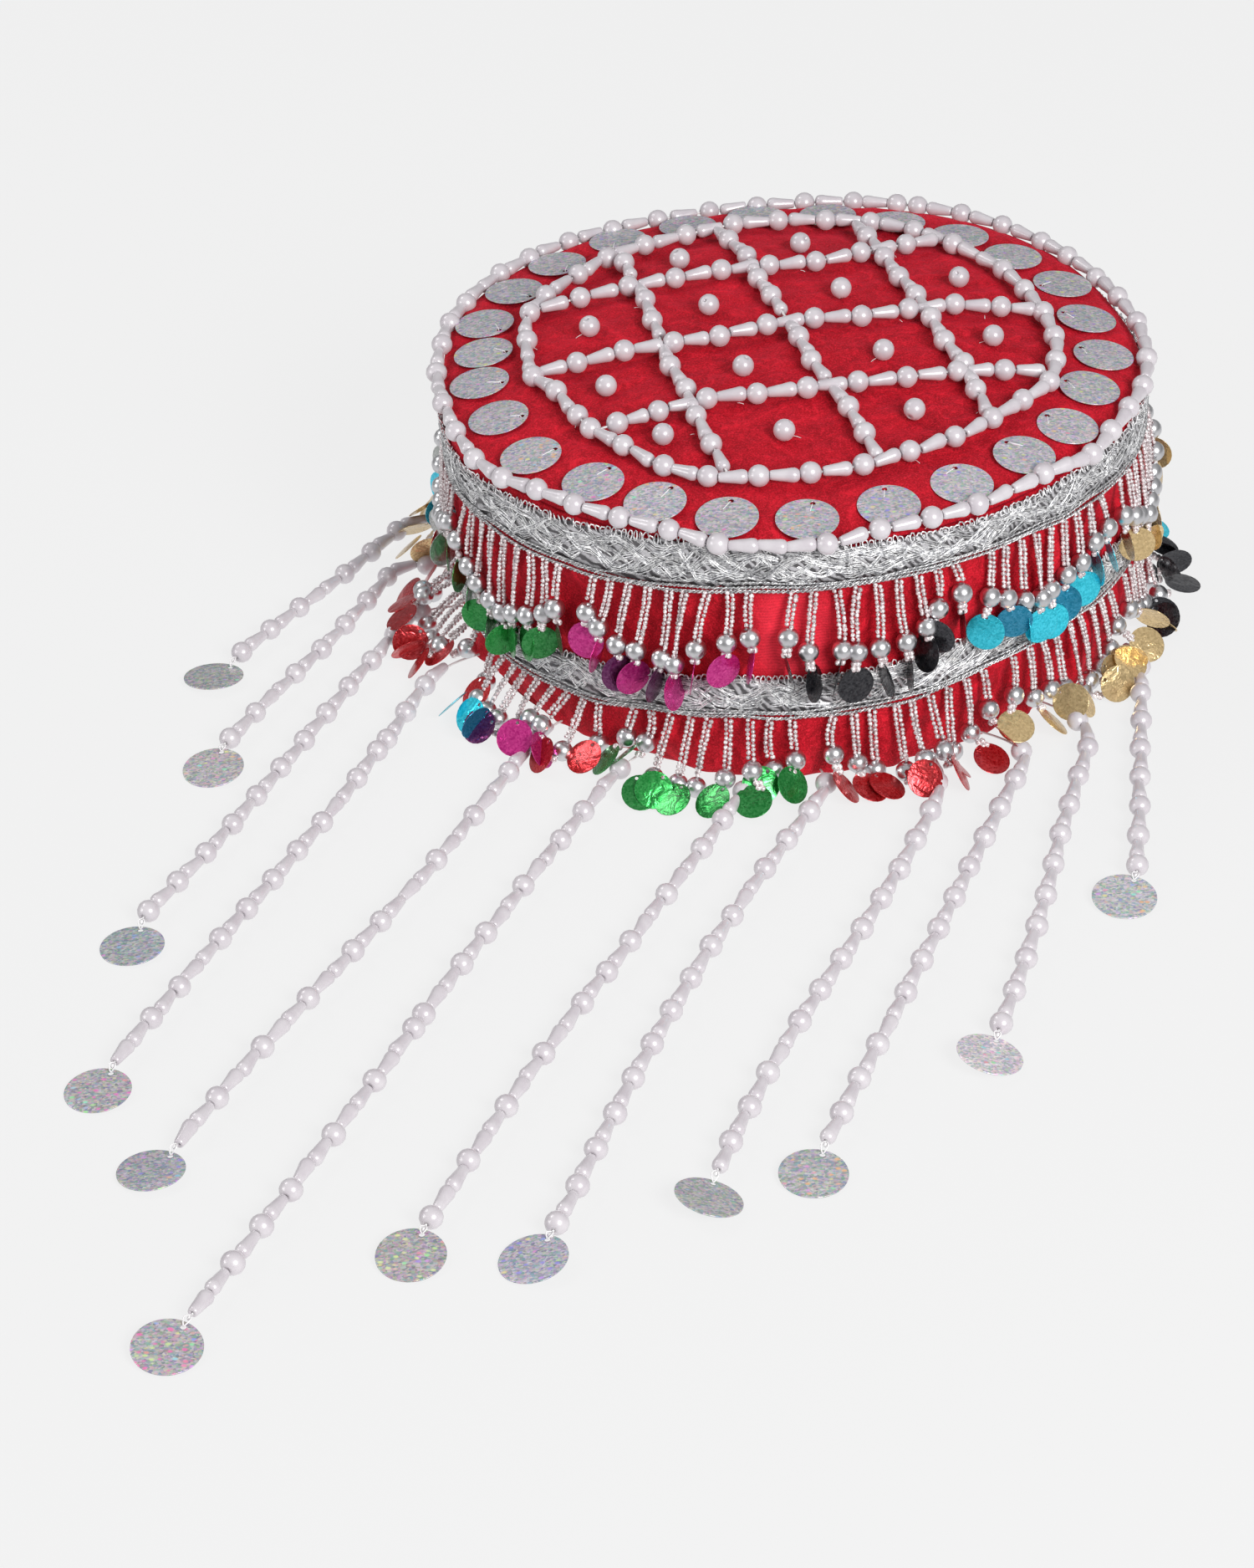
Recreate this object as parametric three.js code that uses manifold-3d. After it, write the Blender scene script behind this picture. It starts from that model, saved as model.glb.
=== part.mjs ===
// Round pillbox cap of red velvet, with pearl strings, paillettes, two metallic
// braids with beaded fringes, and twelve long pearl strands laid out in front.
// Millimetres, +Z up, standing on z = 0. Every table is about the cap's own
// axis; the whole group is then moved so that the middle of its box is at x = y = 0.
import * as THREE from 'three';
import Module from 'manifold-3d';

const wasm = await Module();
wasm.setup();

// ---------------------------------------------------------------- sizes
const GAP = 0.3;               // clear space between touching pieces
const EDGE_Z = 68.7;           // height of the crown's cloth at the edge
const DOME = 8.1;              // rise of the crown from edge to middle
const DOME_R = 90;
const CROWN_IN = 1.5;          // crown cloth stops this far inside the border string
const CROWN_THICK = 1.6;
const BAND_TOP = 66.0;
const BAND_THICK = 2.4;
const BAND_IN = 0.9;           // band face lies this far inside the border string
const BAND_TAPER = 2.2;        // the band draws in this much towards its hem
const PEARL = 5.5;             // round bead, diameter
const DROP_L = 7.2;            // drop bead, length
const DROP_WIDE = 3.7;
const DROP_NARROW = 2.2;
const PAIR = PEARL + DROP_L;
const THREAD = 1.0;
const SIDES = 5;               // sides of a bead string's section
const BRAID_W = 12.7;
const BRAID_T = 1.0;
const DISC = 15.45;            // large paillette, diameter
const DISC_T = 0.5;
const BORDER_Z = 70.5;
const RISE = 3.15;             // bead centre above the cloth under it
const GROUPS = 11;             // scallops round each fringe
const STRAND_Z = 2.85;

const RED = { color: 0xb3141f, roughness: 0.85, metalness: 0 };
const WHITE = { color: 0xe6dfe1, roughness: 0.25, metalness: 0 };
const SILVER = { color: 0xb4b6b8, roughness: 0.35, metalness: 0.8 };
const FOIL = { color: 0xb2b6b9, roughness: 0.3, metalness: 0.7 };
const GLASS = { color: 0xc9b3b3, roughness: 0.2, metalness: 0.3 };

const rad = (d) => (d * Math.PI) / 180;

// ---------------------------------------------------------------- outlines
// The soft cap isn't a true circle: mean radius and its slow waves round the head.
const OUTLINE = [
  // ring      order  cos    sin
  ['border', 0, 89.7, 0],
  ['border', 1, -0.18, -0.28],
  ['border', 2, 0.84, 0.57],
  ['border', 3, -0.26, 1.01],
  ['border', 4, -0.05, -0.7],
  ['border', 5, 0.57, -0.52],
  ['inner', 0, 67.4, 0],
  ['inner', 1, -0.21, 0.32],
  ['inner', 2, -0.53, -0.07],
  ['inner', 3, 0.09, 0.42],
  ['inner', 4, 0.36, -1.67],
];
const outline = (name, a) =>
  OUTLINE.filter((w) => w[0] === name).reduce(
    (r, [, k, c, s]) => r + c * Math.cos(k * a) + s * Math.sin(k * a), 0);
const borderR = (a) => outline('border', a);
const innerR = (a) => outline('inner', a);
const domeZ = (r) => EDGE_Z + DOME * (1 - (r / DOME_R) ** 2);

// Height of each braid's lower edge round the band.
const BRAIDS = [
  // azimuth  upper  lower
  [-165, 49.5, 12.5],
  [-145, 51.2, 12.6],
  [-128, 51.2, 13.0],
  [-114, 52.6, 15.8],
  [-98, 54.8, 18.0],
  [-72, 55.3, 19.0],
  [-57, 55.5, 21.3],
  [-41, 54.3, 22.0],
  [-20, 53.6, 20.8],
  [15, 54.2, 20.0],
  [60, 54.0, 19.2],
  [110, 53.2, 18.4],
  [155, 50.6, 14.5],
];
function around(table, col, aDeg) {
  const n = table.length;
  const a = ((((aDeg - table[0][0]) % 360) + 360) % 360) + table[0][0];
  let i = n - 1;
  while (table[i][0] > a) i--;
  const a0 = table[i][0];
  const a1 = i + 1 < n ? table[i + 1][0] : table[0][0] + 360;
  const t = (a - a0) / (a1 - a0);
  const s = t * t * (3 - 2 * t);
  return table[i][col] * (1 - s) + table[(i + 1) % n][col] * s;
}
const braidLow = (which, a) => around(BRAIDS, which, (a * 180) / Math.PI);

// Outer face of the velvet band: draws in towards the hem, in soft waves.
function bandR(a, z) {
  const down = 1 - Math.min(Math.max(z / BAND_TOP, 0), 1);
  return borderR(a) - BAND_IN - BAND_TAPER * down
    + 0.45 * down * Math.sin(7 * a + 0.6) + 0.25 * Math.sin(3 * a + z / 18);
}

// ---------------------------------------------------------------- mesh makers
function mesh(name, verts, faces, mat) {
  const g = new THREE.BufferGeometry();
  g.setAttribute('position', new THREE.Float32BufferAttribute(verts.flat(), 3));
  g.setIndex(faces.flat());
  g.computeVertexNormals();
  const m = new THREE.Mesh(g, new THREE.MeshStandardMaterial(mat));
  m.name = name;
  return m;
}

// A ring solid: section(a) gives a closed list of [radius, height], counter-clockwise
// when seen with the radius to the right and the height up.
function ringSolid(steps, section) {
  const verts = [];
  const faces = [];
  const m = section(0).length;
  for (let i = 0; i < steps; i++) {
    const a = (2 * Math.PI * i) / steps;
    for (const [r, z] of section(a)) verts.push([r * Math.cos(a), r * Math.sin(a), z]);
  }
  for (let i = 0; i < steps; i++) {
    const j = (i + 1) % steps;
    for (let k = 0; k < m; k++) {
      const l = (k + 1) % m;
      const A = i * m + k, B = j * m + k, C = j * m + l, D = i * m + l;
      faces.push([A, B, C], [A, C, D]);
    }
  }
  return [verts, faces];
}

// A bowl-shaped skin: top rows from the middle out, then bottom rows back in.
function domeSolid(steps, rows) {
  const verts = [[0, 0, rows.top0], [0, 0, rows.bottom0]];
  const faces = [];
  const m = rows.count;
  for (let i = 0; i < steps; i++) {
    const a = (2 * Math.PI * i) / steps;
    for (const [r, z] of rows.section(a)) verts.push([r * Math.cos(a), r * Math.sin(a), z]);
  }
  const at = (i, k) => 2 + (i % steps) * m + k;
  for (let i = 0; i < steps; i++) {
    faces.push([0, at(i, 0), at(i + 1, 0)]);
    for (let k = 0; k + 1 < m; k++) {
      faces.push([at(i, k), at(i, k + 1), at(i + 1, k + 1)], [at(i, k), at(i + 1, k + 1), at(i + 1, k)]);
    }
    faces.push([1, at(i + 1, m - 1), at(i, m - 1)]);
  }
  return [verts, faces];
}

// Bead profile along a thread. P is a round bead; d a drop, narrow end first;
// b a drop, wide end first. Returns [distance, radius] rows, thread ends included.
function beadRows(pattern, from, closed) {
  const rows = [];
  let s = from;
  let last = '';
  for (const c of pattern) {
    if (c === 'P') {
      if (last === 'P') rows.push([s, THREAD]);
      rows.push([s + PEARL / 2, PEARL / 2]);
      s += PEARL;
    } else {
      const [r0, r1] = c === 'd' ? [DROP_NARROW, DROP_WIDE] : [DROP_WIDE, DROP_NARROW];
      rows.push([s + 0.35, r0 / 2], [s + DROP_L - 0.35, r1 / 2]);
      s += DROP_L;
    }
    last = c;
  }
  if (!closed) {
    rows.unshift([from - 0.25, 0.6]);
    rows.push([s + 0.25, 0.6]);
  }
  return { rows, length: s - from };
}

// A beaded string along a route: at(s) gives the point, dir(s) the direction.
function beadString(rows, at, dir, closed) {
  const verts = [];
  const faces = [];
  for (const [s, r] of rows) {
    const p = at(s);
    const t = dir(s);
    const side = new THREE.Vector3(t.y, -t.x, 0).normalize();
    const up = new THREE.Vector3().crossVectors(side, t).normalize();
    for (let k = 0; k < SIDES; k++) {
      const w = (2 * Math.PI * k) / SIDES + Math.PI / 2;
      const q = p.clone().addScaledVector(side, r * Math.cos(w)).addScaledVector(up, r * Math.sin(w));
      verts.push([q.x, q.y, q.z]);
    }
  }
  const n = rows.length;
  const last = closed ? n : n - 1;
  for (let i = 0; i < last; i++) {
    const j = (i + 1) % n;
    for (let k = 0; k < SIDES; k++) {
      const l = (k + 1) % SIDES;
      const A = i * SIDES + k, B = i * SIDES + l, C = j * SIDES + l, D = j * SIDES + k;
      faces.push([A, C, B], [A, D, C]);
    }
  }
  if (!closed) {
    for (let k = 1; k + 1 < SIDES; k++) {
      faces.push([0, k, k + 1]);
      const o = (n - 1) * SIDES;
      faces.push([o, o + k + 1, o + k]);
    }
  }
  return [verts, faces];
}

// A route through points, measured by its own length.
function route(points) {
  const d = [0];
  for (let i = 1; i < points.length; i++) d.push(d[i - 1] + points[i].distanceTo(points[i - 1]));
  const find = (s) => {
    let i = 1;
    while (i < d.length - 1 && d[i] < s) i++;
    return [i, (s - d[i - 1]) / (d[i] - d[i - 1])];
  };
  return {
    length: d[d.length - 1],
    at: (s) => {
      const [i, t] = find(s);
      return points[i - 1].clone().lerp(points[i], t);
    },
    dir: (s) => {
      const [i] = find(s);
      return points[i].clone().sub(points[i - 1]).normalize();
    },
  };
}

// A thin round plate about its own centre, its upper face along `normal`.
function plate(center, normal, diameter, thick, sides = 12) {
  const n = normal.clone().normalize();
  const e1 = new THREE.Vector3(1, 0, 0).addScaledVector(n, -n.x).normalize();
  const e2 = new THREE.Vector3().crossVectors(n, e1);
  const verts = [];
  const faces = [];
  for (const h of [-thick / 2, thick / 2]) {
    for (let k = 0; k < sides; k++) {
      const w = (2 * Math.PI * k) / sides;
      const q = center.clone().addScaledVector(n, h)
        .addScaledVector(e1, (diameter / 2) * Math.cos(w)).addScaledVector(e2, (diameter / 2) * Math.sin(w));
      verts.push([q.x, q.y, q.z]);
    }
  }
  for (let k = 0; k < sides; k++) {
    const l = (k + 1) % sides;
    faces.push([k, l, sides + l], [k, sides + l, sides + k]);
    if (k > 0 && k + 1 < sides) {
      faces.push([0, k + 1, k], [sides, sides + k, sides + k + 1]);
    }
  }
  return [verts, faces];
}

const toSolid = ([verts, faces]) =>
  new wasm.Manifold(new wasm.Mesh({
    numProp: 3,
    vertProperties: Float32Array.from(verts.flat()),
    triVerts: Uint32Array.from(faces.flat()),
  }));
function fromSolid(solid) {
  const m = solid.getMesh();
  const verts = [];
  const faces = [];
  for (let i = 0; i < m.numVert; i++) {
    verts.push([m.vertProperties[i * m.numProp], m.vertProperties[i * m.numProp + 1], m.vertProperties[i * m.numProp + 2]]);
  }
  for (let i = 0; i < m.numTri; i++) faces.push([m.triVerts[3 * i], m.triVerts[3 * i + 1], m.triVerts[3 * i + 2]]);
  return [verts, faces];
}

const cap = new THREE.Group();
const add = (name, [verts, faces], mat) => cap.add(mesh(name, verts, faces, mat));

// ---------------------------------------------------------------- crown and band
add('crown_panel', domeSolid(48, {
  top0: domeZ(0),
  bottom0: domeZ(0) - CROWN_THICK,
  count: 9,
  section: (a) => {
    const R = borderR(a) - CROWN_IN;
    return [
      [30, domeZ(30)], [58, domeZ(58)], [76, domeZ(76)],
      [R - 1.2, domeZ(R - 1.2) - 0.6], [R, 67.9], [R, 66.3],
      [R - 8, domeZ(R - 8) - 1.2 - CROWN_THICK], [58, domeZ(58) - CROWN_THICK], [30, domeZ(30) - CROWN_THICK],
    ];
  },
}), RED);

add('side_band', ringSolid(60, (a) => {
  const hs = [0, 22, 44, BAND_TOP];
  const outer = hs.map((z) => [bandR(a, z), z]);
  const inner = hs.map((z) => [bandR(a, z) - BAND_THICK, z]).reverse();
  return [...outer, ...inner];
}), RED);

// ---------------------------------------------------------------- braids and fringes
function braid(which) {
  return ringSolid(60, (a) => {
    const low = braidLow(which, a);
    const high = Math.min(low + BRAID_W, 66.9);
    const inn = (z) => Math.max(bandR(a, z), bandR(a, Math.min(z, BAND_TOP))) + GAP + 0.1;
    return [[inn(low), low], [inn(low) + BRAID_T, low], [inn(high) + BRAID_T, high], [inn(high), high]];
  });
}
add('upper_braid', braid(1), SILVER);
add('lower_braid', braid(2), SILVER);

// Each fringe is the outer form of its strings, balls and small paillettes:
// deep in the middle of a group, short where two groups meet.
const FIRST_GAP = { upper: -127.4, lower: -121.5 };
function groupDepth(which, a) {
  const pitch = (2 * Math.PI) / GROUPS;
  let t = ((a - rad(FIRST_GAP[which])) / pitch) % 1;
  if (t < 0) t += 1;
  return Math.sin(Math.PI * t) ** 0.7;
}
add('upper_fringe', ringSolid(66, (a) => {
  const top = braidLow(1, a) - GAP;
  const w = groupDepth('upper', a);
  const mid = top - 5;
  const low = top - 12 - 20 * w;
  const r = (z) => bandR(a, z);
  return [
    [r(top) + 0.6, top], [r(low) + 2.6, low], [r(low) + 5.5 + 1.5 * w, low],
    [r(mid) + 5.5, mid], [r(top) + 3.2, top],
  ];
}), GLASS);
add('lower_fringe', ringSolid(66, (a) => {
  const top = braidLow(2, a) - GAP;
  const w = groupDepth('lower', a);
  const low = 6.4;
  const r = (z) => bandR(a, z);
  return [
    [r(top) + 0.6, top], [r(low) + 1.4, low], [r(low) + 6 + 9 * w, low], [r(top) + 4.0, top],
  ];
}), GLASS);

// ---------------------------------------------------------------- strings on the crown
function closedString(radiusAt, zAt, pearls) {
  const N = 360;
  const pts = [];
  const run = [0];
  for (let i = 0; i <= N; i++) {
    const a = rad(pearls[0]) + (2 * Math.PI * i) / N;
    const r = radiusAt(a);
    pts.push(new THREE.Vector3(r * Math.cos(a), r * Math.sin(a), zAt(r, a)));
    if (i) run.push(run[i - 1] + pts[i].distanceTo(pts[i - 1]));
  }
  const path = route(pts);
  const place = (deg) => {
    const u = ((deg - pearls[0]) / 360) * N;
    const i = Math.min(Math.floor(u), N - 1);
    return run[i] + (run[i + 1] - run[i]) * (u - i);
  };
  // each pearl is followed by as many drops as the way to the next one holds
  const rows = [];
  pearls.forEach((deg, i) => {
    const from = place(deg);
    const room = place(i + 1 < pearls.length ? pearls[i + 1] : pearls[0] + 360) - from;
    const drops = Math.max(0, Math.round((room - PEARL) / (DROP_L - 0.2)));
    const made = beadRows('P' + 'd'.repeat(drops), 0, true);
    rows.push(...made.rows.map(([s, r]) => [from - PEARL / 2 + (s * room) / made.length, r]));
  });
  const wrap = (s) => ((s % path.length) + path.length) % path.length;
  return beadString(rows, (s) => path.at(wrap(s)), (s) => path.dir(wrap(s)), true);
}
// Pearls of the string round the crown's edge: where each one is, and how far the
// string sags over the edge there.
const BORDER_PEARLS = [
  // azimuth, sag
  [-178.8, 0], [-168.3, 0], [-158.9, 0.6], [-150, 2.9], [-142.4, 2.8], [-135.2, 0.1], [-127.5, 0], [-119.2, 0],
  [-110.6, 0.6], [-102.6, 4.2], [-86.5, 3.8], [-78.2, 0.2], [-69.6, 0], [-61.4, 0.5], [-47.4, 0], [-37.1, 3.2],
  [-29.6, 0.8], [-21.8, 0], [-14.3, 0], [-5, 0], [7.5, 0], [16.7, 0], [24.5, 0.3], [33.4, 0], [40.4, 0], [49.3, 0],
  [57.6, 0], [65.6, 0], [69.3, 0], [76.9, 0], [85.5, 0], [94.1, 0], [102.8, 0], [112.5, 0], [121.1, 0], [129.7, 0],
  [138.3, 0], [145.5, 0], [156.9, 0.1], [163.9, 0.7], [171.6, 0],
];
const sag = (a) => around(BORDER_PEARLS, 1, (a * 180) / Math.PI);
const stringR = (a) => borderR(a) + 0.62 * sag(a);
const INNER_PEARLS = [
  -167.2, -158.1, -146, -139.7, -129.4, -117.9, -108.1, -98.1, -87.7, -76.6, -65.7, -54.3, -43, -32.7, -22.8, -13.6,
  -3.1, 8, 19.6, 30.4, 47.9, 59.2, 69.8, 79.9, 90.7, 101.1, 113, 123.4, 133.5, 143.5, 155, 163.3, 176.2,
];
add('border_bead_string', closedString(stringR, (r, a) => BORDER_Z - 0.255 * sag(a), BORDER_PEARLS.map(([d]) => d)), WHITE);
add('inner_bead_ring', closedString(innerR, (r) => domeZ(r) + RISE, INNER_PEARLS), WHITE);

// Strings across the crown, by the middles of their pearls: three from left to right,
// then three from front to back.
const LATTICE = [
  [[-53.6, 24.6], [-41, 28.2], [-28.8, 30.6], [-16.7, 33.3], [-4.1, 34.9], [8.1, 36], [20.1, 41.9], [32.3, 47.9]],
  [[-54.2, -11.4], [-42.2, -8.3], [-29.6, -6.6], [-17.9, -5.1], [-5.7, -0.6], [6.4, 2.2], [18.5, 2.9], [30.7, 7],
    [42.7, 10.4], [54.6, 10.3]],
  [[-44, -42.5], [-33.8, -39], [-21.7, -35], [-9.2, -34.3], [3.3, -32.5], [16, -30.2], [28.3, -28.1], [41.1, -24.5],
    [53, -23.2]],
  [[-42.1, 44.9], [-36.7, 19.6], [-34.8, 7.3], [-30.5, -17.5], [-26.9, -29.1], [-24.7, -41.8], [-21, -54.4]],
  [[-14.3, 54.9], [-9.8, 42.6], [-7.3, 27.5], [-4.1, 16.6], [2, -6.9], [4.8, -18.8], [13.2, -40.9], [16.5, -52.4]],
  [[22.3, 54.3], [26.3, 39.9], [29.3, 26.8], [33.3, 16], [36.3, 3.4], [38.9, -8.8], [43.1, -20], [45.4, -32.2]],
];
const INSIDE = 3.3;            // lattice strings stop this far inside the inner ring
// where a string that goes on past its last pearl p, away from q, comes to the ring
function toRing(p, q) {
  const d = Math.hypot(p[0] - q[0], p[1] - q[1]);
  const on = (t) => [p[0] + ((p[0] - q[0]) * t) / d, p[1] + ((p[1] - q[1]) * t) / d];
  const inside = ([x, y]) => Math.hypot(x, y) < innerR(Math.atan2(y, x)) - INSIDE;
  let t = PEARL / 2 + 0.1;
  while (inside(on(t + 0.1))) t += 0.1;
  return on(t);
}
function across(pearls) {
  const n = pearls.length;
  const pts = [toRing(pearls[0], pearls[1]), ...pearls, toRing(pearls[n - 1], pearls[n - 2])]
    .map(([x, y]) => new THREE.Vector3(x, y, domeZ(Math.hypot(x, y)) + RISE));
  const path = route(pts);
  const rows = [[0, 0.4]];
  const drop = (from, to) => rows.push([from + 0.35, DROP_NARROW / 2], [to - 0.35, DROP_WIDE / 2]);
  let s = 0;
  for (let i = 1; i < pts.length; i++) {
    const next = s + pts[i].distanceTo(pts[i - 1]);
    const from = i === 1 ? 0.1 : s + PEARL / 2;
    const to = i === pts.length - 1 ? next - 0.1 : next - PEARL / 2;
    if (i > 1 && i < pts.length - 1 && to - from > 2 * DROP_L) {
      // a drop beside each pearl, and bare thread where another string crosses
      drop(from, from + DROP_L);
      rows.push([from + DROP_L + 0.3, THREAD], [to - DROP_L - 0.3, THREAD]);
      drop(to - DROP_L, to);
    } else if (to - from > 2) drop(from, to);
    if (i < pts.length - 1) rows.push([next, PEARL / 2]);
    s = next;
  }
  rows.push([s, 0.4]);
  return beadString(rows, (t) => path.at(t), (t) => path.dir(t), false);
}
add('crown_lattice_strings', fromSolid(
  LATTICE.map((row) => toSolid(across(row))).reduce((u, s) => u.add(s))), WHITE);

// One pearl sewn in each cell of the lattice.
const CELL_PEARLS = [
  // x      y
  [-27.5, 43.8], [4.5, 50.1],
  [-51.1, 7.7], [-20.3, 13.2], [14.0, 19.8], [45.0, 27.7],
  [-46.8, -24.1], [-12.3, -20.3], [23.2, -14.3], [51.5, -5.3],
  [-32.8, -48.7], [-3.0, -50.4], [29.4, -42.1],
];
CELL_PEARLS.forEach(([x, y], i) => {
  const s = new THREE.SphereGeometry(PEARL / 2, 8, 5);
  const m = new THREE.Mesh(s, new THREE.MeshStandardMaterial(WHITE));
  m.rotation.x = Math.PI / 2;
  m.position.set(x, y, domeZ(Math.hypot(x, y)) + RISE);
  m.name = `cell_pearl_${String(i + 1).padStart(2, '0')}`;
  cap.add(m);
});

// ---------------------------------------------------------------- paillettes on the crown
// Sewn flat between the two rings of beads, each leaning out over the turned edge,
// and joined in four runs by the sewing thread under their inner edges.
const PAILLETTES = [
  // azimuth, distance from the axis; each keeps clear of both bead rings
  [-159.0, 79.3], [-144.0, 81.1], [-128.9, 79.9], [-115.8, 80.7], [-102.5, 82.7], [-89.1, 82.9], [-74.9, 82.8],
  [-60.5, 79.8], [-45.7, 80.9], [-32.7, 79.8], [-18.3, 78.2], [-5.1, 79.7], [9.1, 77.8], [23.9, 79.1],
  [38.2, 77.0], [52.0, 77.0], [66.2, 77.0], [80.5, 77.0], [95.0, 77.0],
  [109.1, 76.8], [123.5, 80.1], [137.9, 81.1], [150.9, 81.7], [164.3, 81.8], [175.6, 78.9], [187.0, 79.9],
];
const RUNS = [[0, 7], [7, 14], [14, 20], [20, 26]];
const TILT = rad(8.6);
const DISC_RISE = 0.75;
const discR = (i) => {
  const a = rad(PAILLETTES[i][0]);
  return Math.max((innerR(a) + stringR(a)) / 2 - 0.25, Math.min(PAILLETTES[i][1], stringR(a) - 10.6));
};
RUNS.forEach(([from, to], run) => {
  const solids = [];
  for (let i = from; i < to; i++) {
    const a = rad(PAILLETTES[i][0]);
    const r = discR(i);
    const c = new THREE.Vector3(r * Math.cos(a), r * Math.sin(a), domeZ(r) + DISC_RISE);
    const n = new THREE.Vector3(Math.sin(TILT) * Math.cos(a), Math.sin(TILT) * Math.sin(a), Math.cos(TILT));
    solids.push(toSolid(plate(c, n, DISC, DISC_T)));
  }
  const last = to - 1 - from;
  const STEPS = 2 * last;
  const pts = [];
  for (let i = 0; i <= STEPS; i++) {
    const k = from + Math.floor(i / 2);
    const l = Math.min(k + (i % 2), to - 1);
    const d = rad((PAILLETTES[k][0] + PAILLETTES[l][0]) / 2);
    const r = (discR(k) + discR(l)) / 2 - 5;
    pts.push(new THREE.Vector3(r * Math.cos(d), r * Math.sin(d), domeZ(r) + DISC_RISE));
  }
  const path = route(pts);
  const rows = [];
  for (let i = 0; i <= STEPS; i++) rows.push([(path.length * i) / STEPS, 0.34]);
  solids.push(toSolid(beadString(rows, path.at, path.dir, false)));
  add(`crown_paillettes_${run + 1}`, fromSolid(solids.reduce((u, s) => u.add(s))), FOIL);
});

// ---------------------------------------------------------------- long strands
// Each leaves the hem at hemAz, is laid out straight but for a small bow and bend,
// and ends in a paillette. lead lists its beads under the fringe, from the first
// visible one back to the hem; beads lists the rest.
const STRANDS = [
  // hemAz  x0      y0      x1      y1     bow   bend  lead   beads                            discX   discY  lean  tip
  [158, -107.1, 34.3, -144.9, -25.1, 0.6, 0.3, 'dPd', 'PdPdPdbPdPdP', -150.6, -32.4, -7, 0],
  [172, -108.5, 10.2, -145.0, -65.9, 1.0, 0.4, 'dP', 'PdPdPdPdPdbPdP', -148.2, -75.4, 5, -3],
  [-176, -102.7, -13.4, -158.9, -140.1, 1.0, -0.6, 'P', 'dPdPdPdPdPdPdPdPdPdPdP', -161.9, -150.2, 0, -2],
  [-160, -96.5, -44.4, -161.4, -198.6, 2.0, 0.6, 'd', 'PdPdPPdPdbPdPdPdPdPdbPdPdb', -164.6, -206.0, 2, -2],
  [-134, -69.0, -73.8, -144.6, -228.9, 1.4, 0.8, 'd', 'PdPdbPdbPdbdPdPdbPdbPdbPdb', -150.0, -235.8, -4, -2],
  [-117, -49.4, -91.5, -136.6, -286.7, -0.4, -0.5, 'P', 'dbPdPdbPdbPdPdbPPdbPdbPdbPdPdPdb', -141.3, -295.2, 8, 4],
  [-98, -16.1, -98.0, -87.3, -257.5, -1.2, 0.6, 'd', 'PdPdPdbPdbPdPdPdbPdbPdbPdbP', -91.3, -267.6, 7, 0],
  [-88, 2.6, -101.7, -60.0, -260.8, -3.8, -0.3, 'P', 'dPdPdPdbPdPdPdPdPdPdPdPdPdP', -64.6, -269.6, 1, -9],
  [-70, 29.4, -109.2, -25.4, -244.4, -0.7, 1.0, 'dPd', 'PdPdPdPdPdPdPdPdbPdPdPd', -27.4, -253.6, -9, 17],
  [-60, 53.0, -90.5, -1.2, -235.6, 0.2, -0.1, 'P', 'dPdPdPdPdPdPdPdPdbPdPdPd', -4.5, -244.4, 4, 2],
  [-46, 69.7, -83.7, 40.0, -195.4, 0.7, -0.6, 'dP', 'PdPdPdPdPdPdPdPdPdP', 37.0, -204.9, -3, 15],
  [-24, 86.4, -47.2, 76.8, -135.1, 0.4, 0.1, 'd', 'PdPdPdPdPdPdPdP', 72.9, -145.2, 7, 2],
];
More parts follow.
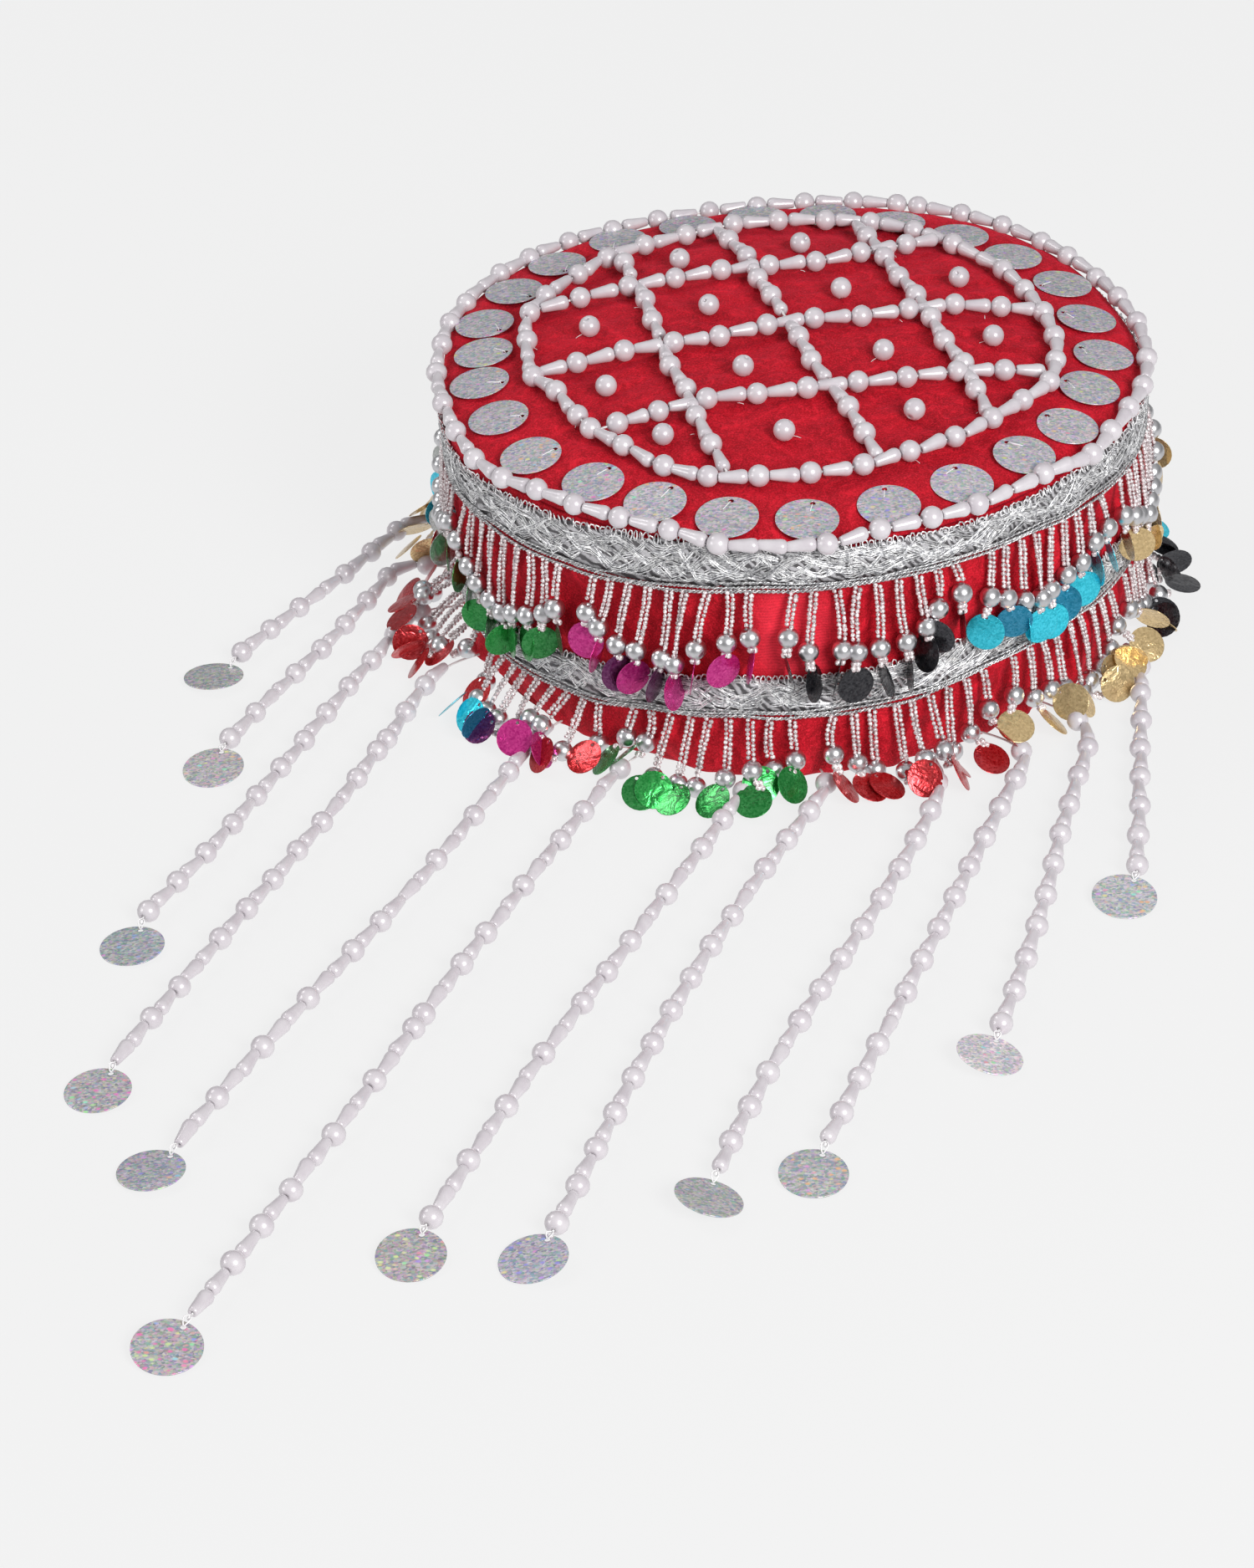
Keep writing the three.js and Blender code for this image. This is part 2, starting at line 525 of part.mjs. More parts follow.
STRANDS.forEach(([hemAz, x0, y0, x1, y1, bow, bend, lead, beads, dx, dy, lean, tip], i) => {
  const p0 = new THREE.Vector3(x0, y0, STRAND_Z);
  const p1 = new THREE.Vector3(x1, y1, STRAND_Z);
  const t = p1.clone().sub(p0);
  const n = new THREE.Vector3(-t.y, t.x, 0).normalize();
  const on = (u) => p0.clone().addScaledVector(t, u)
    .addScaledVector(n, bow * Math.sin(Math.PI * Math.min(Math.max(u, 0), 1)) + bend * Math.sin(2 * Math.PI * Math.min(Math.max(u, 0), 1)));
  const hemR = bandR(rad(hemAz), STRAND_Z) + GAP + 0.6;
  const hem = new THREE.Vector3(hemR * Math.cos(rad(hemAz)), hemR * Math.sin(rad(hemAz)), STRAND_Z);
  const dir0 = on(0.02).sub(on(0)).normalize();
  const elbow = p0.clone().addScaledVector(dir0, -0.5 * p0.distanceTo(hem));
  const pts = [];
  for (let k = 0; k < 10; k++) {
    const u = k / 10;
    pts.push(hem.clone().multiplyScalar((1 - u) ** 2).addScaledVector(elbow, 2 * u * (1 - u)).addScaledVector(p0, u * u));
  }
  const leadLen = route([...pts, p0]).length;
  for (let k = 0; k <= 60; k++) pts.push(on(k / 60));
  const reach = route(pts).length - leadLen;
  for (let k = 61; k <= 66; k++) pts.push(on(k / 60));
  const path = route(pts);
  // the first visible bead has its middle on (x0, y0); a last pearl has its middle
  // on (x1, y1), and a last drop its end
  const half = beads[0] === 'P' ? PEARL / 2 : DROP_L / 2;
  const lastHalf = beads.at(-1) === 'P' ? PEARL / 2 : 0;
  const main = beadRows(beads, leadLen - half, false);
  const back = beadRows([...lead].reverse().join(''), 0, false).length;
  const head = beadRows([...lead].reverse().join(''), leadLen - half - back, false);
  const pull = reach / (main.length - half - lastHalf);
  const rows = [[0.3, 0.5]];
  if (leadLen - half - back > 1.4) rows.push([leadLen - half - back - 0.5, 0.5]);
  rows.push(...head.rows.slice(1, -1), ...main.rows.slice(1, -1));
  rows.push([leadLen - half + main.length + 0.2, 0.6]);
  const id = String(i + 1).padStart(2, '0');
  const rise = (s) => (s < leadLen ? s : leadLen + (s - leadLen) * pull);
  add(`pearl_strand_${id}`, beadString(rows, (s) => path.at(rise(s)), (s) => path.dir(rise(s)), false), WHITE);
  // its paillette: lean towards the front, tip to the right, lowest edge on the ground
  const nn = new THREE.Vector3(Math.sin(rad(tip)), -Math.sin(rad(lean)), 1).normalize();
  const low = (DISC / 2) * Math.sqrt(1 - nn.z * nn.z) + (DISC_T / 2) * nn.z;
  // keeps clear of the last bead
  const c = new THREE.Vector3(dx, dy, low + 0.02);
  const away = c.clone().sub(p1).setZ(0);
  const need = DISC / 2 + lastHalf * pull + 0.6;
  if (away.length() < need) c.copy(p1.clone().addScaledVector(away.normalize(), need)).setZ(low + 0.02);
  add(`end_paillette_${id}`, plate(c, nn, DISC, DISC_T), FOIL);
});

// ---------------------------------------------------------------- placing
const box = new THREE.Box3().setFromObject(cap);
cap.position.set(-(box.min.x + box.max.x) / 2, -(box.min.y + box.max.y) / 2, -box.min.z);
cap.updateMatrixWorld(true);

export default cap;
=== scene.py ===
"""Looks of a round beaded velvet cap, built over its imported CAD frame.

Lengths in the tables and functions are millimetres about the cap's own upright axis,
with the floor at z = 0. Meshes are turned into metres in the row frame when they are made.
"""
import math

import bpy
import numpy as np
from mathutils import Matrix, Vector


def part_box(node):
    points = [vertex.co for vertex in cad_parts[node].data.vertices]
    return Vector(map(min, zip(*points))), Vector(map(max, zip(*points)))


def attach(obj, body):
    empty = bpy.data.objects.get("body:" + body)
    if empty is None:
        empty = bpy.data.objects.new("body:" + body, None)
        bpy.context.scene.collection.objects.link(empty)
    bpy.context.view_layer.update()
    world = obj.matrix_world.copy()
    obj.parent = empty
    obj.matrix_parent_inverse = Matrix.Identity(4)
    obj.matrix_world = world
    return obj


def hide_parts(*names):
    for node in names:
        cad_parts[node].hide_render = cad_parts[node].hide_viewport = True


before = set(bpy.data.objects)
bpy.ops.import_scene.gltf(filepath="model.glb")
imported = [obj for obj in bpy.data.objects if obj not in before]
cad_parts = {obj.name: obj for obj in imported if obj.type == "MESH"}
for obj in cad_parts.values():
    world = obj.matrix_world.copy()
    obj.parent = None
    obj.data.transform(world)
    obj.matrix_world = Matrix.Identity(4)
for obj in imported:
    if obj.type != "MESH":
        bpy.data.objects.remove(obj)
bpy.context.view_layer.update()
rng = np.random.default_rng(41)

# ------------------------------------------------------------------ the cap's axis and sizes
_lo, _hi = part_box("cell_pearl_08")
AXIS = np.array([(_lo.x + _hi.x) / 2 + 0.0123, (_lo.y + _hi.y) / 2 + 0.0203, 0.0])

EDGE_Z, DOME, DOME_R = 68.7, 8.1, 90.0
BAND_TOP, BAND_IN, BAND_TAPER, BAND_THICK = 66.0, 0.9, 2.2, 2.4
PEARL, DROP_L = 5.5, 7.2
PAIR = PEARL + DROP_L
BRAID_W = 12.7
DISC = 15.45
BORDER_Z, RISE = 70.5, 3.15
STRAND_Z = 2.85
GROUPS = 11
FIRST_GAP = {"upper": -127.4, "lower": -121.5}

OUTLINE = {
    # order, cos, sin
    "border": [(0, 89.7, 0), (1, -0.18, -0.28), (2, 0.84, 0.57), (3, -0.26, 1.01), (4, -0.05, -0.7), (5, 0.57, -0.52)],
    "inner": [(0, 67.4, 0), (1, -0.21, 0.32), (2, -0.53, -0.07), (3, 0.09, 0.42), (4, 0.36, -1.67)],
}
BRAIDS = np.array([
    # azimuth, upper braid's low edge, lower braid's low edge
    (-165, 49.5, 12.5), (-145, 51.2, 12.6), (-128, 51.2, 13.0), (-114, 52.6, 15.8), (-98, 54.8, 18.0),
    (-72, 55.3, 19.0), (-57, 55.5, 21.3), (-41, 54.3, 22.0), (-20, 53.6, 20.8), (15, 54.2, 20.0),
    (60, 54.0, 19.2), (110, 53.2, 18.4), (155, 50.6, 14.5),
])
LATTICE = [
    # the middles of each string's pearls: three strings from left to right, three from front to back
    [(-53.6, 24.6), (-41, 28.2), (-28.8, 30.6), (-16.7, 33.3), (-4.1, 34.9), (8.1, 36), (20.1, 41.9), (32.3, 47.9)],
    [(-54.2, -11.4), (-42.2, -8.3), (-29.6, -6.6), (-17.9, -5.1), (-5.7, -0.6), (6.4, 2.2), (18.5, 2.9), (30.7, 7), (42.7, 10.4), (54.6, 10.3)],
    [(-44, -42.5), (-33.8, -39), (-21.7, -35), (-9.2, -34.3), (3.3, -32.5), (16, -30.2), (28.3, -28.1), (41.1, -24.5), (53, -23.2)],
    [(-42.1, 44.9), (-36.7, 19.6), (-34.8, 7.3), (-30.5, -17.5), (-26.9, -29.1), (-24.7, -41.8), (-21, -54.4)],
    [(-14.3, 54.9), (-9.8, 42.6), (-7.3, 27.5), (-4.1, 16.6), (2, -6.9), (4.8, -18.8), (13.2, -40.9), (16.5, -52.4)],
    [(22.3, 54.3), (26.3, 39.9), (29.3, 26.8), (33.3, 16), (36.3, 3.4), (38.9, -8.8), (43.1, -20), (45.4, -32.2)],
]
CELL_PEARLS = [
    (-27.5, 43.8), (4.5, 50.1), (-51.1, 7.7), (-20.3, 13.2), (14.0, 19.8), (45.0, 27.7), (-46.8, -24.1),
    (-12.3, -20.3), (23.2, -14.3), (51.5, -5.3), (-32.8, -48.7), (-3.0, -50.4), (29.4, -42.1),
]
PAILLETTES = [
    # azimuth, distance from the axis
    (-159.0, 79.3), (-144.0, 81.1), (-128.9, 79.9), (-115.8, 80.7), (-102.5, 82.7), (-89.1, 82.9), (-74.9, 82.8),
    (-60.5, 79.8), (-45.7, 80.9), (-32.7, 79.8), (-18.3, 78.2), (-5.1, 79.7), (9.1, 77.8), (23.9, 79.1),
    (38.2, 77.0), (52.0, 77.0), (66.2, 77.0), (80.5, 77.0), (95.0, 77.0), (109.1, 76.8),
    (123.5, 80.1), (137.9, 81.1), (150.9, 81.7), (164.3, 81.8), (175.6, 78.9), (187.0, 79.9),
]
BORDER_PEARLS = np.array([
    # azimuth of each pearl of the border string, and how far the string sags over the edge there
    (-178.8, 0), (-168.3, 0), (-158.9, 0.6), (-150, 2.9), (-142.4, 2.8), (-135.2, 0.1), (-127.5, 0), (-119.2, 0),
    (-110.6, 0.6), (-102.6, 4.2), (-86.5, 3.8), (-78.2, 0.2), (-69.6, 0), (-61.4, 0.5), (-47.4, 0), (-37.1, 3.2),
    (-29.6, 0.8), (-21.8, 0), (-14.3, 0), (-5, 0), (7.5, 0), (16.7, 0), (24.5, 0.3), (33.4, 0), (40.4, 0), (49.3, 0),
    (57.6, 0), (65.6, 0), (69.3, 0), (76.9, 0), (85.5, 0), (94.1, 0), (102.8, 0), (112.5, 0), (121.1, 0), (129.7, 0),
    (138.3, 0), (145.5, 0), (156.9, 0.1), (163.9, 0.7), (171.6, 0),
])
INNER_PEARLS = np.array([
    # azimuth, and how far the ring wanders outward there
    (-167.2, 1.3), (-158.1, -1.0), (-146.0, 0.0), (-139.7, 0.5), (-129.4, -0.2), (-117.9, 1.2), (-108.1, 1.6), (-98.1, 0.3),
    (-87.7, 0.5), (-76.6, 0.9), (-65.7, 0.2), (-54.3, 0.5), (-43.0, -0.5), (-32.7, -0.3), (-22.8, 1.2), (-13.6, 0.4),
    (-3.1, -0.2), (8.0, -0.5), (19.6, -0.2), (30.4, -0.2), (47.9, -0.7), (59.2, -0.4), (69.8, -0.5), (79.9, -1.4),
    (90.7, -0.8), (101.1, -0.1), (113.0, -0.8), (123.4, 0.0), (133.5, 0.2), (143.5, -1.2), (155.0, -0.4), (163.3, 0.3), (176.2, -0.5),
])
RUNS = [(0, 7), (7, 14), (14, 20), (20, 26)]
TILT, DISC_RISE = math.radians(8.6), 0.75
STRANDS = [
    # hemAz, x0, y0, x1, y1, bow, bend, lead, beads, discX, discY, lean, tip
    (158, -107.1, 34.3, -144.9, -25.1, 0.6, 0.3, "dPd", "PdPdPdbPdPdP", -150.6, -32.4, -7, 0),
    (172, -108.5, 10.2, -145.0, -65.9, 1.0, 0.4, "dP", "PdPdPdPdPdbPdP", -148.2, -75.4, 5, -3),
    (-176, -102.7, -13.4, -158.9, -140.1, 1.0, -0.6, "P", "dPdPdPdPdPdPdPdPdPdPdP", -161.9, -150.2, 0, -2),
    (-160, -96.5, -44.4, -161.4, -198.6, 2.0, 0.6, "d", "PdPdPPdPdbPdPdPdPdPdbPdPdb", -164.6, -206.0, 2, -2),
    (-134, -69.0, -73.8, -144.6, -228.9, 1.4, 0.8, "d", "PdPdbPdbPdbdPdPdbPdbPdbPdb", -150.0, -235.8, -4, -2),
    (-117, -49.4, -91.5, -136.6, -286.7, -0.4, -0.5, "P", "dbPdPdbPdbPdPdbPPdbPdbPdbPdPdPdb", -141.3, -295.2, 8, 4),
    (-98, -16.1, -98.0, -87.3, -257.5, -1.2, 0.6, "d", "PdPdPdbPdbPdPdPdbPdbPdbPdbP", -91.3, -267.6, 7, 0),
    (-88, 2.6, -101.7, -60.0, -260.8, -3.8, -0.3, "P", "dPdPdPdbPdPdPdPdPdPdPdPdPdP", -64.6, -269.6, 1, -9),
    (-70, 29.4, -109.2, -25.4, -244.4, -0.7, 1.0, "dPd", "PdPdPdPdPdPdPdPdbPdPdPd", -27.4, -253.6, -9, 17),
    (-60, 53.0, -90.5, -1.2, -235.6, 0.2, -0.1, "P", "dPdPdPdPdPdPdPdPdbPdPdPd", -4.5, -244.4, 4, 2),
    (-46, 69.7, -83.7, 40.0, -195.4, 0.7, -0.6, "dP", "PdPdPdPdPdPdPdPdPdP", 37.0, -204.9, -3, 15),
    (-24, 86.4, -47.2, 76.8, -135.1, 0.4, 0.1, "d", "PdPdPdPdPdPdPdP", 72.9, -145.2, 7, 2),
]


def outline(name, a):
    return sum(c * np.cos(k * a) + s * np.sin(k * a) for k, c, s in OUTLINE[name])


def dome_z(r):
    return EDGE_Z + DOME * (1 - (r / DOME_R) ** 2)


def around(table, col, a):
    """A value from a table of azimuths in degrees, smooth from row to row and round the end."""
    first = table[0, 0]
    d = (np.degrees(a) - first) % 360 + first
    i = np.searchsorted(table[:, 0], d, side="right") - 1
    j = (i + 1) % len(table)
    a1 = np.where(i + 1 < len(table), table[j, 0], first + 360)
    t = (d - table[i, 0]) / (a1 - table[i, 0])
    s = t * t * (3 - 2 * t)
    return table[i, col] * (1 - s) + table[j, col] * s


def braid_low(which, a):
    """Height of a braid's lower edge: which is 1 for the upper braid and 2 for the lower."""
    return around(BRAIDS, which, a)


def sag(a):
    return around(BORDER_PEARLS, 1, a)


def string_r(a):
    return outline("border", a) + 0.62 * sag(a)


def rear(a):
    """1 round the back of the crown, where the edge of its cloth stands a little fuller."""
    d = (np.degrees(a) + 180) % 360 - 180
    u, v = np.clip((d - 12) / 25, 0, 1), np.clip((178 - d) / 14, 0, 1)
    return u * u * (3 - 2 * u) * v * v * (3 - 2 * v)


def band_r(a, z):
    down = 1 - np.clip(np.asarray(z, float) / BAND_TOP, 0, 1)
    return (outline("border", a) - BAND_IN - BAND_TAPER * down
            + 0.45 * down * np.sin(7 * a + 0.6) + 0.25 * np.sin(3 * a + z / 18))


# ------------------------------------------------------------------ smooth noise for shapes
class Waves:
    """A smooth pseudo-random field made of sines, the same on each run."""

    def __init__(self, seed, scale, count=24, dims=3, squash=(1, 1, 1)):
        g = np.random.default_rng(seed)
        k = g.normal(size=(count, dims)) * np.array(squash[:dims])
        self.k = k * (2 * np.pi / scale)
        self.p = g.uniform(0, 2 * np.pi, count)
        self.n = math.sqrt(2.0 / count)

    def __call__(self, *x):
        x = np.stack(np.broadcast_arrays(*x), -1)
        return np.sin(x @ self.k.T + self.p).sum(-1) * self.n


# ------------------------------------------------------------------ mesh tools
class Soup:
    """Vertices and faces of many small parts, joined into one mesh at the end."""

    def __init__(self):
        self.v, self.t, self.q, self.tm, self.qm, self.c, self.k = [], [], [], [], [], [], []
        self.n = 0

    def add(self, verts, tris=None, quads=None, mat=0, tint=(1, 1, 1, 1), fleck=(1, 1, 1, 0)):
        verts = np.asarray(verts, float).reshape(-1, 3)
        m = len(verts)
        self.v.append(verts)
        self.c.append(np.broadcast_to(np.asarray(tint, float), (m, 4)))
        self.k.append(np.broadcast_to(np.asarray(fleck, float), (m, 4)))
        for faces, store, mats in ((tris, self.t, self.tm), (quads, self.q, self.qm)):
            if faces is not None and len(faces):
                faces = np.asarray(faces, int)
                store.append(faces + self.n)
                mats.append(np.full(len(faces), mat))
        self.n += m

    def many(self, template, pos, rot, scale=None, mat=0, tint=None, fleck=None):
        """One copy of a template (verts, tris, quads) for each place. rot is (K, 3, 3)."""
        tv, tt, tq = template
        K, T = len(pos), len(tv)
        v = np.broadcast_to(tv, (K, T, 3))
        if scale is not None:
            v = v * np.asarray(scale, float).reshape(K, 1, -1)
        v = np.einsum("kij,ktj->kti", rot, v) + np.asarray(pos, float)[:, None]
        off = (np.arange(K) * T)[:, None, None]
        tris = (np.asarray(tt, int)[None] + off).reshape(-1, 3) if len(tt) else None
        quads = (np.asarray(tq, int)[None] + off).reshape(-1, 4) if len(tq) else None
        full = {}
        for key, val in (("tint", tint), ("fleck", fleck)):
            if val is not None:
                val = np.asarray(val, float)
                if val.ndim == 1:
                    val = np.broadcast_to(val, (K, 4))
                full[key] = np.repeat(val, T, axis=0)
        self.add(v.reshape(-1, 3), tris, quads, mat, **full)


def make(name, soup, mats, replaces=(), smooth=True, colours=True):
    v = np.concatenate(soup.v) / 1000.0 + AXIS
    tris = np.concatenate(soup.t) if soup.t else np.zeros((0, 3), int)
    quads = np.concatenate(soup.q) if soup.q else np.zeros((0, 4), int)
    me = bpy.data.meshes.new(name)
    me.vertices.add(len(v))
    me.vertices.foreach_set("co", v.astype(np.float32).ravel())
    loops = np.concatenate([tris.ravel(), quads.ravel()])
    me.loops.add(len(loops))
    me.loops.foreach_set("vertex_index", loops.astype(np.int32))
    n3, n4 = len(tris), len(quads)
    me.polygons.add(n3 + n4)
    starts = np.concatenate([np.arange(n3) * 3, n3 * 3 + np.arange(n4) * 4])
    me.polygons.foreach_set("loop_start", starts.astype(np.int32))
    index = np.concatenate([*(soup.tm or [np.zeros(0)]), *(soup.qm or [np.zeros(0)])])
    me.polygons.foreach_set("material_index", index.astype(np.int32))
    me.polygons.foreach_set("use_smooth", np.full(n3 + n4, smooth))
    if colours:
        for label, rows in (("Tint", soup.c), ("Fleck", soup.k)):
            at = me.color_attributes.new(label, "FLOAT_COLOR", "POINT")
            at.data.foreach_set("color", np.concatenate(rows).astype(np.float32).ravel())
    me.update(calc_edges=True)
    me.validate()
    for m in mats:
        me.materials.append(m)
    o = bpy.data.objects.new(name, me)
    bpy.context.scene.collection.objects.link(o)
    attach(o, "root")
    if replaces:
        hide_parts(*replaces)
    return o


def revolve(profile, sides):
    """A closed solid turned about z from (height, radius) rows, low end first."""
    profile = np.asarray(profile, float)
    w = 2 * np.pi * np.arange(sides) / sides
    rings = np.stack([np.outer(profile[:, 1], np.cos(w)), np.outer(profile[:, 1], np.sin(w)),
                      np.repeat(profile[:, 0][:, None], sides, 1)], -1).reshape(-1, 3)
    n = len(profile)
    quads = []
    for i in range(n - 1):
        for k in range(sides):
            l = (k + 1) % sides
            quads.append((i * sides + k, i * sides + l, (i + 1) * sides + l, (i + 1) * sides + k))
    v = np.concatenate([rings, [[0, 0, profile[0, 0]], [0, 0, profile[-1, 0]]]])
    tris = []
    for k in range(sides):
        l = (k + 1) % sides
        tris.append((n * sides, l, k))
        tris.append((n * sides + 1, (n - 1) * sides + k, (n - 1) * sides + l))
    return v, tris, quads


def ball(radius, sides, rings, hole=0.0):
    """A round bead threaded along z, with the mouths of its hole."""
    lo_t = math.asin(min(hole / radius, 0.9)) if hole else 0.35 * math.pi / rings
    t = np.linspace(lo_t, math.pi - lo_t, rings)
    rows = [(-radius * math.cos(x), radius * math.sin(x)) for x in t]
    if hole:
        e = rows[0][0]
        rows = [(e + 0.55, hole * 0.8), *rows, (-e - 0.55, hole * 0.8)]
    return revolve(rows, sides)


def plate(radius, thick, sides, hole_at, hole_r, dish=0.0):
    """A thin disc in the xy plane with a round hole at (hole_at, 0), made of rings that run
    from the hole's edge to the rim, on both faces. The rim and the hole have crisp edges."""
    w = 2 * np.pi * np.arange(sides) / sides
    rim = np.stack([np.cos(w), np.sin(w)], -1) * radius
    hole = np.stack([np.cos(w), np.sin(w)], -1) * hole_r + [hole_at, 0]
    levels = [0.0, 0.04, 0.35, 0.7, 0.985, 1.0]
    v = []
    for sign in (1, -1):
        for t in levels:
            r = hole * (1 - t) + rim * t
            z = dish * (1 - (np.hypot(r[:, 0], r[:, 1]) / radius) ** 2) + sign * thick / 2
            v.append(np.column_stack([r, z]))
    v = np.concatenate(v)
    m = len(levels)
    quads = []
    for k in range(sides):
        l = (k + 1) % sides
        for i in range(m - 1):
            a, b = i * sides, (i + 1) * sides
            quads.append((a + k, b + k, b + l, a + l))
            a, b = (m + i) * sides, (m + i + 1) * sides
            quads.append((a + k, a + l, b + l, b + k))
        top, low = (m - 1) * sides, (2 * m - 1) * sides
        quads.append((top + k, low + k, low + l, top + l))
        quads.append((k, l, m * sides + l, m * sides + k))
    return v, [], quads


def unit(v):
    return v / np.maximum(np.linalg.norm(v, axis=-1, keepdims=True), 1e-12)


def along(dirs, up=(0.0, 0.0, 1.0)):
    """Rotations that turn z onto each direction, with y as near to up as can be."""
    d = unit(np.asarray(dirs, float))
    u = np.broadcast_to(np.asarray(up, float), d.shape)
    x = unit(np.cross(u, d))
    y = np.cross(d, x)
    return np.stack([x, y, d], -1)


def turn(rot, angle):
    """The same rotations with a spin about their own z."""
    angle = np.asarray(angle, float)
    c, s, o, e = np.cos(angle), np.sin(angle), np.zeros_like(angle), np.ones_like(angle)
    m = np.stack([np.stack([c, -s, o], -1), np.stack([s, c, o], -1), np.stack([o, o, e], -1)], -2)
    return rot @ m


def wobble(rot, amount, g):
    """Small random tilts, in radians."""
    K = len(rot)
    ax, ay = g.normal(0, amount, K), g.normal(0, amount, K)
    m = np.broadcast_to(np.eye(3), (K, 3, 3)).copy()
    m[:, 0, 2], m[:, 1, 2], m[:, 2, 0], m[:, 2, 1] = ax, ay, -ax, -ay
    q, r = np.linalg.qr(m)
    q = q * np.sign(np.einsum("kii->ki", r))[:, None, :]
    return rot @ q


def sweep(soup, pts, up, section, closed=False, spin=None, mat=0, tint=(1, 1, 1, 1)):
    """A solid swept along points. section is (S, 2) in (side, up); up is one vector or one a point."""
    pts = np.asarray(pts, float)
    n = len(pts)
    if closed:
        t = np.roll(pts, -1, 0) - np.roll(pts, 1, 0)
    else:
        t = np.gradient(pts, axis=0)
    t = unit(t)
    u = np.broadcast_to(np.asarray(up, float), pts.shape)
    side = unit(np.cross(t, u))
    u = np.cross(side, t)
    sec = np.asarray(section, float)
    if sec.ndim == 2:
        sec = np.broadcast_to(sec, (n, *sec.shape))
    if spin is not None:
        c, s = np.cos(spin)[:, None], np.sin(spin)[:, None]
        sec = np.stack([sec[..., 0] * c - sec[..., 1] * s, sec[..., 0] * s + sec[..., 1] * c], -1)
    S = sec.shape[1]
    v = pts[:, None] + sec[..., :1] * side[:, None] + sec[..., 1:] * u[:, None]
    i = np.arange(n if closed else n - 1)
    j = (i + 1) % n
    quads = []
    for k in range(S):
        l = (k + 1) % S
        quads.append(np.stack([i * S + k, j * S + k, j * S + l, i * S + l], -1))
    tris = None
    if not closed:
        o = (n - 1) * S
        tris = [(0, k, k + 1) for k in range(1, S - 1)] + [(o, o + k + 1, o + k) for k in range(1, S - 1)]
    if np.ndim(tint) == 2:
        tint = np.repeat(tint, S, axis=0)
    soup.add(v.reshape(-1, 3), tris, np.concatenate(quads), mat, tint=tint)


def round_section(r, sides):
    w = 2 * np.pi * np.arange(sides) / sides
    return np.stack([r * np.cos(w), r * np.sin(w)], -1)


class Route:
    """A polyline that is measured along itself."""

    def __init__(self, pts):
        self.p = np.asarray(pts, float)
        self.d = np.concatenate([[0], np.cumsum(np.linalg.norm(np.diff(self.p, axis=0), axis=1))])
        self.length = self.d[-1]

    def at(self, s):
        return np.stack([np.interp(s, self.d, self.p[:, k]) for k in range(3)], -1)

    def dir(self, s, h=0.6):
        s = np.asarray(s, float)
        return unit(self.at(np.minimum(s + h, self.length)) - self.at(np.maximum(s - h, 0)))


def beads(pattern, start=0.0):
    """[(kind, middle, length)] along a thread. P is a round bead, d a drop with its narrow end
    first and b a drop with its wide end first."""
    out, s = [], start
    for c in pattern:
        n = PEARL if c == "P" else DROP_L
        out.append((c, s + n / 2, n))
        s += n
    return out, s


